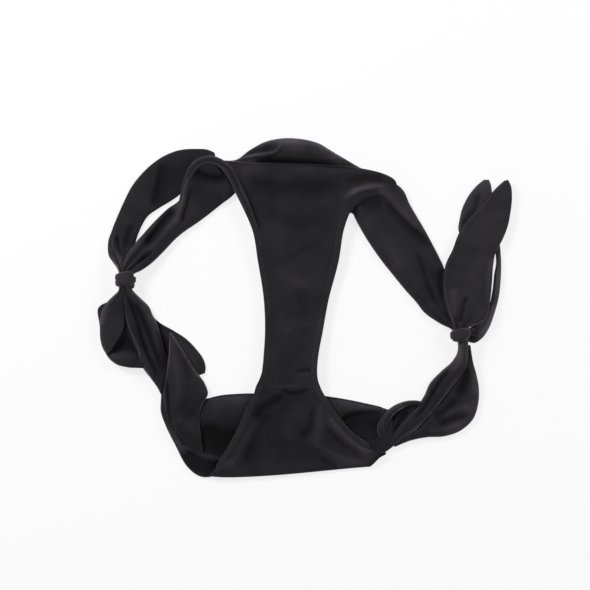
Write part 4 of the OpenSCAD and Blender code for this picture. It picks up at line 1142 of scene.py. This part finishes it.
leftKnot = {
    "centre": (-178.3, 26.2, 11.0), "turn": 90.0, "radius": 6.6, "belly": 1.6, "turns": 2.35, "pitch": 5.4,
    "wide": 8.6, "thick": 5.0, "slant": 0.2, "start": 110.0, "winding": -1, "climb": 0.6, "tuckDepth": 3.0,
    "coreRadius": 6.2, "coreLength": 26.0, "wornAndShaded": 0.35, "sideNarrow": 0.2,
}
rightKnot = {
    "centre": (155.2, -27.2, 11.0), "turn": 97.0, "radius": 7.0, "belly": 1.2, "turns": 1.6, "pitch": 2.0,
    "wide": 12.6, "thick": 4.6, "slant": 0.9, "start": 150.0, "winding": 1, "climb": 0.9, "tuckDepth": 3.0,
    "coreRadius": 6.0, "coreLength": 11.0, "wornAndShaded": 0.3, "sideNarrow": 0.35, "liesAt": 2.5, "flatSoft": 0.5,
}
woundBand = {"samples": 150, "around": 34, "tuckShare": 0.06, "endWide": 0.72, "endThick": 0.5,
             "ridges": 5, "ridgeDepth": 0.1, "ridgeDrift": 2.5}
bundle = {"samples": 50, "around": 48, "waist": 0.82, "flare": 0.3, "pleats": 7, "pleatDepth": 0.09,
          "pleatDrift": 2, "finePleats": 12, "fineDepth": 0.04}


def knotFrame(knot):
    turn = math.radians(knot["turn"])
    along = np.array([math.cos(turn), math.sin(turn), 0.0])
    across = np.array([math.sin(turn), -math.cos(turn), 0.0])
    return np.array(knot["centre"]), along, across


def knotWrap(knot):
    centre, along, across = knotFrame(knot)
    share = np.linspace(0, 1, woundBand["samples"])[:, None]
    angle = np.radians(knot["start"]) + knot["winding"] * 2 * math.pi * knot["turns"] * share
    outward = np.cos(angle) * across + np.sin(angle) * upward
    turned = knot["turns"] * (share - 0.5)
    shift = knot["pitch"] * turned + knot["slant"] * np.cos(angle)
    tuck = easeIn(share / woundBand["tuckShare"]) * easeIn((1 - share) / woundBand["tuckShare"])
    sunk = knot["tuckDepth"] * (1 - tuck)     # both ends go in under the band
    radius = knot["radius"] + knot["belly"] * np.sin(math.pi * share) + knot["climb"] * turned - sunk
    path = centre + along * shift + outward * radius
    ring = fullTurn(woundBand["around"])[None, :]
    ridges = np.cos(woundBand["ridges"] * ring + woundBand["ridgeDrift"] * share) * (np.sin(ring) > 0)
    wide = 0.5 * knot["wide"] * np.cos(ring) * (woundBand["endWide"] + (1 - woundBand["endWide"]) * tuck)
    wide = wide * (1 - knot["sideNarrow"] * np.cos(angle) ** 2)     # pulled in at the sides
    thick = 0.5 * knot["thick"] * np.sin(ring) * (1 + woundBand["ridgeDepth"] * ridges)
    thick = thick * (woundBand["endThick"] + (1 - woundBand["endThick"]) * tuck)
    rings = path[:, None, :] + wide[..., None] * along + thick[..., None] * outward[:, None, :]
    if "liesAt" in knot:     # flattened below by the cloth it lies on
        soft = knot["flatSoft"]
        rings[..., 2] = knot["liesAt"] + soft * np.logaddexp(0, (rings[..., 2] - knot["liesAt"]) / soft)
    return closedTube(rings, knot["wornAndShaded"])


def knotCore(knot):
    # the gathered ends inside the band, pinched in the middle
    centre, along, across = knotFrame(knot)
    share = np.linspace(-0.5, 0.5, bundle["samples"])[:, None]
    ring = fullTurn(bundle["around"])[None, :]
    pleats = (1 + bundle["pleatDepth"] * np.cos(bundle["pleats"] * ring + bundle["pleatDrift"] * share)
              + bundle["fineDepth"] * np.cos(bundle["finePleats"] * ring))
    reach = knot["coreRadius"] * (bundle["waist"] + bundle["flare"] * (2 * share) ** 2) * pleats
    return closedTube(centre + along * (knot["coreLength"] * share)[..., None]
                      + (reach * np.cos(ring))[..., None] * across
                      + (reach * np.sin(ring))[..., None] * upward)


leftWrap = makePiece("leftKnotWrap", [knotWrap(leftKnot)], stretchedJersey, "left_knot_wrap")
rightWrap = makePiece("rightKnotWrap", [knotWrap(rightKnot)], stretchedJersey, "right_knot_wrap")
leftCore = makePiece("leftKnotCore", [knotCore(leftKnot)], blackJersey, "left_knot_core")
rightCore = makePiece("rightKnotCore", [knotCore(rightKnot)], blackJersey, "right_knot_core")
print("knots tied")


# Hems: cloth rolled round an elastic along both sides of the strip and along the waist

hemMake = {
    "cloth": 0.45, "groove": 0.35, "grooveWide": 0.3, "pucker": 0.10, "puckerStep": 6.5, "puckerDrift": 17,
    "around": 24, "step": 1.6, "linePoints": 400, "leastRings": 8, "endRings": 3, "endSize": 0.35,
    "rollGrows": (0.4, 1.0), "wornAndShaded": 0.2, "paleAt": 0.65, "paleWide": 0.25,
}
legHem = {"wide": 6.2, "thick": 1.7, "elasticWide": 3.2, "elasticThick": 0.44}
waistHem = {"wide": 4.4, "thick": 2.8, "elasticWide": 2.4, "elasticThick": 0.8}
elastics = {"around": 12, "shorter": 5}
legEdge = {"inset": 1.7, "lift": 0.15, "rowStep": 9}

# columns: the edge of the panels' grids and a line further in; roll: how the hem grows fuller on the arch
leftLeg = {
    "columns": (0, 14), "frontRows": slice(2, -30, legEdge["rowStep"]),
    "backRows": slice(4, -26, legEdge["rowStep"]),
    "arch": [(-95.5, 146.4, 13.0), (-103.5, 144.4, 12.8), (-110.5, 139, 12.4), (-115.5, 129.5, 12.0),
             (-119, 119, 11.4), (-121, 109, 10.8), (-123.5, 97, 10.0), (-127, 84, 8.6), (-129.5, 76, 6.6)],
    "roll": 0.9, "rollFrom": 70, "rollOver": 45, "outward": -1, "thinFrom": 104, "thinOver": 18,
    "thinBy": 0.8, "rollHighlight": 0.7, "grooveShade": -1.0, "shade": 0.0,
}
rightLeg = {
    "columns": (-1, -14), "frontRows": slice(2, -44, legEdge["rowStep"]),
    "backRows": slice(4, -30, legEdge["rowStep"]),
    "arch": [(84, 117.4, 12.7), (89.5, 119.4, 12.0), (93, 119, 10.6)],
    "roll": 1.2, "rollFrom": 70, "rollOver": 35, "outward": 1, "thinFrom": 70, "thinOver": 16,
    "thinBy": 0.6, "rollHighlight": 0.0, "grooveShade": 0.0, "shade": -0.4,
}
frontWaistLine = [(-97, -93.5, 3.4), (-83, -90.2, 3.8), (-67, -88.8, 4.0), (-45, -88.3, 4.0),
                  (-10, -88.8, 4.0), (22, -91.2, 4.0), (43, -94.6, 4.0), (64, -99, 4.0), (80, -102.6, 3.8)]
backWaistLine = [(-67, 115.5, 3.2), (-50, 108.8, 3.0), (-20, 106, 2.8), (2, 105, 2.8), (28, 100, 2.8),
                 (46, 96.5, 2.8), (56, 91, 2.8)]


def resampled(path):
    length = runLength(path)
    count = max(int(length[-1] / hemMake["step"]), hemMake["leastRings"])
    where = np.linspace(0, length[-1], count)
    return np.stack([np.interp(where, length, path[:, i]) for i in range(3)], 1)


def hemPath(*stretches):
    return resampled(smoothRun(np.concatenate(stretches), hemMake["linePoints"], places=3))


def insideEdge(grid, leg, rows):
    # a line that keeps its distance from the cloth's edge
    edge, inner = [grid[:, column] for column in leg["columns"]]
    inward = inner - edge
    line = edge + legEdge["inset"] * inward / np.linalg.norm(inward, axis=1, keepdims=True)
    return line[leg[rows]] + legEdge["lift"] * upward


def legPath(leg):
    front = insideEdge(frontGrid, leg, "frontRows")
    back = insideEdge(backGrid, leg, "backRows")
    return hemPath(front[::-1], back, leg["arch"])


def archRoll(path, leg):
    # how much more the hem rolls over along the arch, less again where the arch runs out
    rises = easeIn((path[:, 1] - leg["rollFrom"]) / leg["rollOver"])
    thins = easeIn((leg["outward"] * path[:, 0] - leg["thinFrom"]) / leg["thinOver"])
    return leg["roll"] * rises * (1 - leg["thinBy"] * thins)


def hemRings(path, wide, thick, groove, roll=0.0):
    # puckers a little along its length, as elastic pulls it in
    ring = fullTurn(hemMake["around"])[None, :]
    place = np.arange(len(path))[:, None]
    distance = place * hemMake["step"]
    drift = np.sin(distance / hemMake["puckerDrift"])
    swell = 1 + hemMake["pucker"] * np.sin(2 * math.pi * distance / hemMake["puckerStep"] + drift)
    ends = easeIn(place / hemMake["endRings"]) * easeIn((len(path) - 1 - place) / hemMake["endRings"])
    ends = hemMake["endSize"] + (1 - hemMake["endSize"]) * ends
    # a dent along the upper side makes two rolls of it
    dent = groove * np.exp(-(np.cos(ring) / hemMake["grooveWide"]) ** 2) * (np.sin(ring) > 0)
    shape = np.stack(np.broadcast_arrays(0.5 * wide * np.cos(ring),
                                         0.5 * thick * swell * np.sin(ring) - dent), 2)
    fuller = 1 + np.reshape(roll, (-1, 1, 1)) * np.array(hemMake["rollGrows"])
    return tubeRings(path, shape * fuller * ends[..., None])


def hemTube(path, size, roll, leg):
    doubled = 2 * hemMake["cloth"]
    outer = hemRings(path, size["wide"], size["thick"], hemMake["groove"], roll)
    inner = hemRings(path, size["wide"] - doubled, size["thick"] - doubled, 0, roll)
    wornAndShaded = hemMake["wornAndShaded"]
    if leg:     # painted highlight on the rolls and painted shade in the groove between them, and painted shade over an arch where one is set
        across = np.abs(np.cos(fullTurn(hemMake["around"])))
        pale = leg["rollHighlight"] * np.exp(-((across - hemMake["paleAt"]) / hemMake["paleWide"]) ** 2)
        dark = leg["grooveShade"] * np.exp(-(across / hemMake["grooveWide"]) ** 2)
        wornAndShaded = wornAndShaded + roll[:, None] * (pale + dark + leg["shade"])
    return hollowTube(outer, inner, wornAndShaded)


def elasticBand(path, size):
    # lies loose inside its hem and stops short of both ends
    ring = fullTurn(elastics["around"])
    shape = np.stack([0.5 * size["elasticWide"] * np.cos(ring), 0.5 * size["elasticThick"] * np.sin(ring)], 1)
    short = path[elastics["shorter"]:-elastics["shorter"]]
    return closedTube(tubeRings(short, np.repeat(shape[None], len(short), 0)))


leftHemPath, rightHemPath = legPath(leftLeg), legPath(rightLeg)
hems = [     # name, node, path, sizes, roll, leg
    ("leftLeg", "left_leg", leftHemPath, legHem, archRoll(leftHemPath, leftLeg), leftLeg),
    ("rightLeg", "right_leg", rightHemPath, legHem, archRoll(rightHemPath, rightLeg), rightLeg),
    ("frontWaist", "front_waist", hemPath(frontWaistLine), waistHem, 0.0, None),
    ("backWaist", "back_waist", hemPath(backWaistLine), waistHem, 0.0, None),
]
leftHem, rightHem, frontWaistHem, backWaistHem = [
    makePiece(name + "Hem", [hemTube(path, size, roll, leg)], blackJersey, node + "_binding")
    for name, node, path, size, roll, leg in hems]
for name, node, path, size, roll, leg in hems:
    makePiece(name + "Elastic", [elasticBand(path, size)], ribbedElastic, node + "_elastic")
print("hems rolled")


# Crotch seam: a flat ridge across the strip

crotchSeam = {"y": -79.0, "left": -44.5, "right": 13.0, "height": 12.95, "dip": 1.2, "wide": 3.4,
              "thick": 0.8, "groove": 0.3, "points": 60}
acrossStrip = np.linspace(-1, 1, crotchSeam["points"])
seamPath = np.stack([crotchSeam["left"] + (crotchSeam["right"] - crotchSeam["left"]) * (acrossStrip + 1) / 2,
                     np.full(crotchSeam["points"], crotchSeam["y"]),
                     crotchSeam["height"] - crotchSeam["dip"] * acrossStrip**2], 1)
seamRings = hemRings(resampled(seamPath), crotchSeam["wide"], crotchSeam["thick"], crotchSeam["groove"])
seamRidge = makePiece("crotchSeam", [closedTube(seamRings)], sewingThread, "crotch_seam")
print("crotch seam sewn")


# Stitches in twin rows along the hems and the seam, set out by a node tree

stitches = {"spacing": 3.0, "length": 2.1, "thread": 0.45, "segments": 8, "rings": 6, "sideways": 2,
            "fromEnds": 4}


def stitchTree():
    tree = bpy.data.node_groups.new("stitchRow", "GeometryNodeTree")
    tree.interface.new_socket("Geometry", in_out="INPUT", socket_type="NodeSocketGeometry")
    for label in ("Spacing", "Stitch Length", "Thread"):
        tree.interface.new_socket(label, in_out="INPUT", socket_type="NodeSocketFloat")
    tree.interface.new_socket("Material", in_out="INPUT", socket_type="NodeSocketMaterial")
    tree.interface.new_socket("Geometry", in_out="OUTPUT", socket_type="NodeSocketGeometry")
    given = tree.nodes.new("NodeGroupInput")
    result = tree.nodes.new("NodeGroupOutput")
    rows = tree.nodes.new("GeometryNodeMeshToCurve")
    even = tree.nodes.new("GeometryNodeResampleCurve")
    even.mode = "LENGTH"
    along = tree.nodes.new("GeometryNodeInputTangent")
    turn = tree.nodes.new("FunctionNodeAlignRotationToVector")
    turn.axis = "Z"
    stitch = tree.nodes.new("GeometryNodeMeshUVSphere")
    stitch.inputs["Segments"].default_value = stitches["segments"]
    stitch.inputs["Rings"].default_value = stitches["rings"]
    stitch.inputs["Radius"].default_value = 0.5     # one across, so that its scale is its size
    size = tree.nodes.new("ShaderNodeCombineXYZ")
    place = tree.nodes.new("GeometryNodeInstanceOnPoints")
    solid = tree.nodes.new("GeometryNodeRealizeInstances")
    dressed = tree.nodes.new("GeometryNodeSetMaterial")
    for source, target in ((given.outputs["Geometry"], rows.inputs["Mesh"]),
                           (rows.outputs["Curve"], even.inputs["Curve"]),
                           (given.outputs["Spacing"], even.inputs["Length"]),
                           (along.outputs["Tangent"], turn.inputs["Vector"]),
                           (given.outputs["Thread"], size.inputs["X"]),
                           (given.outputs["Thread"], size.inputs["Y"]),
                           (given.outputs["Stitch Length"], size.inputs["Z"]),
                           (even.outputs["Curve"], place.inputs["Points"]),
                           (stitch.outputs["Mesh"], place.inputs["Instance"]),
                           (turn.outputs["Rotation"], place.inputs["Rotation"]),
                           (size.outputs["Vector"], place.inputs["Scale"]),
                           (place.outputs["Instances"], solid.inputs["Geometry"]),
                           (solid.outputs["Geometry"], dressed.inputs["Geometry"]),
                           (given.outputs["Material"], dressed.inputs["Material"]),
                           (dressed.outputs["Geometry"], result.inputs["Geometry"])):
        tree.links.new(source, target)
    return tree


def stitchRows(rings):
    # two lines on the upper side of a hem, clear of its ends
    quarter = rings.shape[1] // 4
    toSide = stitches["sideways"]
    clear = rings[stitches["fromEnds"]:-stitches["fromEnds"]]
    return [clear[:, quarter - toSide], clear[:, quarter + toSide]]


sewnRings = [hemRings(path, size["wide"], size["thick"], hemMake["groove"], roll)
             for name, node, path, size, roll, leg in hems] + [seamRings]
sewnRows = [row for rings in sewnRings for row in stitchRows(rings)]
rowPoints, rowEdges = [], []
for row in sewnRows:
    rowEdges += [(len(rowPoints) + i, len(rowPoints) + i + 1) for i in range(len(row) - 1)]
    rowPoints += (row * mm).tolist()
rowMesh = bpy.data.meshes.new("stitchLines")
rowMesh.from_pydata(rowPoints, rowEdges, [])
stitchLines = bpy.data.objects.new("stitchLines", rowMesh)
bpy.context.collection.objects.link(stitchLines)
sewing = stitchLines.modifiers.new("sewing", "NODES")
sewing.node_group = stitchTree()
sewingValues = {"Spacing": stitches["spacing"] * mm, "Stitch Length": stitches["length"] * mm,
                "Thread": stitches["thread"] * mm, "Material": sewingThread}
for socket in sewing.node_group.interface.items_tree:
    if socket.in_out == "INPUT" and socket.name in sewingValues:
        sewing[socket.identifier] = sewingValues[socket.name]
layers = bpy.context.evaluated_depsgraph_get()
stitchMesh = bpy.data.meshes.new_from_object(stitchLines.evaluated_get(layers), depsgraph=layers)
bpy.data.objects.remove(stitchLines)
stitchMesh.shade_smooth()
hemStitches = bpy.data.objects.new("hemStitches", stitchMesh)
bpy.context.collection.objects.link(hemStitches)
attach(hemStitches, body)
print("stitches set:", len(stitchMesh.polygons), "faces")


# Camera, lights and floor

photoView = {"x": -9.5, "y": 12.0, "field": 587.5, "distance": 2000.0, "sensor": 36.0, "clothHeight": 10.0}
cameraData = bpy.data.cameras.new("photoCamera")
cameraData.sensor_width = photoView["sensor"]
cameraData.lens = photoView["sensor"] * photoView["distance"] / photoView["field"]
camera = bpy.data.objects.new("photoCamera", cameraData)
camera.location = (photoView["x"] * mm, photoView["y"] * mm,
                   (photoView["distance"] + photoView["clothHeight"]) * mm)
bpy.context.collection.objects.link(camera)
scene = bpy.context.scene
scene.camera = camera


def softLight(name, place, aim, size, power):
    data = bpy.data.lights.new(name, "AREA")
    data.shape = "DISK"
    data.size = size
    data.energy = power
    lamp = bpy.data.objects.new(name, data)
    lamp.location = place
    toward = np.array(aim) - np.array(place)
    lamp.rotation_euler = (math.atan2(math.hypot(toward[0], toward[1]), -toward[2]), 0,
                           math.atan2(toward[0], -toward[1]) + math.pi)
    bpy.context.collection.objects.link(lamp)


softLight("keyLight", place=(-0.95, 0.9, 1.1), aim=(0, 0, 0), size=0.5, power=22)
softLight("fillLight", place=(1.15, 0.5, 1.0), aim=(0.1, 0, 0), size=0.6, power=9)
ringLights = {"count": 6, "radius": 1.3, "height": 0.30, "size": 0.35, "power": 0.9, "turn": 20.0}
for i in range(ringLights["count"]):
    angle = math.radians(ringLights["turn"] + 360 * i / ringLights["count"])
    place = (ringLights["radius"] * math.cos(angle), ringLights["radius"] * math.sin(angle),
             ringLights["height"])
    softLight("sideLight%d" % i, place, (0, 0, 0), ringLights["size"], ringLights["power"])

roomLight = {"colour": (1, 1, 1, 1), "strength": 0.22}
world = bpy.data.worlds.new("paleRoom")
scene.world = world
world.use_nodes = True
world.node_tree.nodes["Background"].inputs["Color"].default_value = roomLight["colour"]
world.node_tree.nodes["Background"].inputs["Strength"].default_value = roomLight["strength"]
floorLook = {"size": 6.0, "grey": (0.9, 0.9, 0.9, 1), "rough": 0.9, "gloss": 0.1, "white": 1.0,
             "whiteShare": 0.78}


def floorMaterial():
    # white to the camera, and still taking the shadow
    material = bpy.data.materials.new("whiteFloor")
    material.use_nodes = True
    tree = material.node_tree
    shader = tree.nodes["Principled BSDF"]
    shader.inputs["Base Color"].default_value = floorLook["grey"]
    shader.inputs["Roughness"].default_value = floorLook["rough"]
    shader.inputs["Specular IOR Level"].default_value = floorLook["gloss"]
    white = tree.nodes.new("ShaderNodeEmission")
    white.inputs["Strength"].default_value = floorLook["white"]
    rays = tree.nodes.new("ShaderNodeLightPath")
    seen = mathNode(tree, "MAXIMUM", rays.outputs["Is Camera Ray"],
                    mathNode(tree, "MAXIMUM", rays.outputs["Is Glossy Ray"],
                             rays.outputs["Is Transmission Ray"]))
    mix = tree.nodes.new("ShaderNodeMixShader")
    tree.links.new(mathNode(tree, "MULTIPLY", seen, floorLook["whiteShare"]), mix.inputs[0])
    tree.links.new(shader.outputs[0], mix.inputs[1])
    tree.links.new(white.outputs[0], mix.inputs[2])
    tree.links.new(mix.outputs[0], tree.nodes["Material Output"].inputs["Surface"])
    return material


bpy.ops.mesh.primitive_plane_add(size=floorLook["size"], location=(0, 0, 0))
floor = bpy.context.object
floor.name = "floor"
floor.data.materials.append(floorMaterial())
scene.view_settings.view_transform = "Standard"
print("camera, lights and floor set")


print("done")
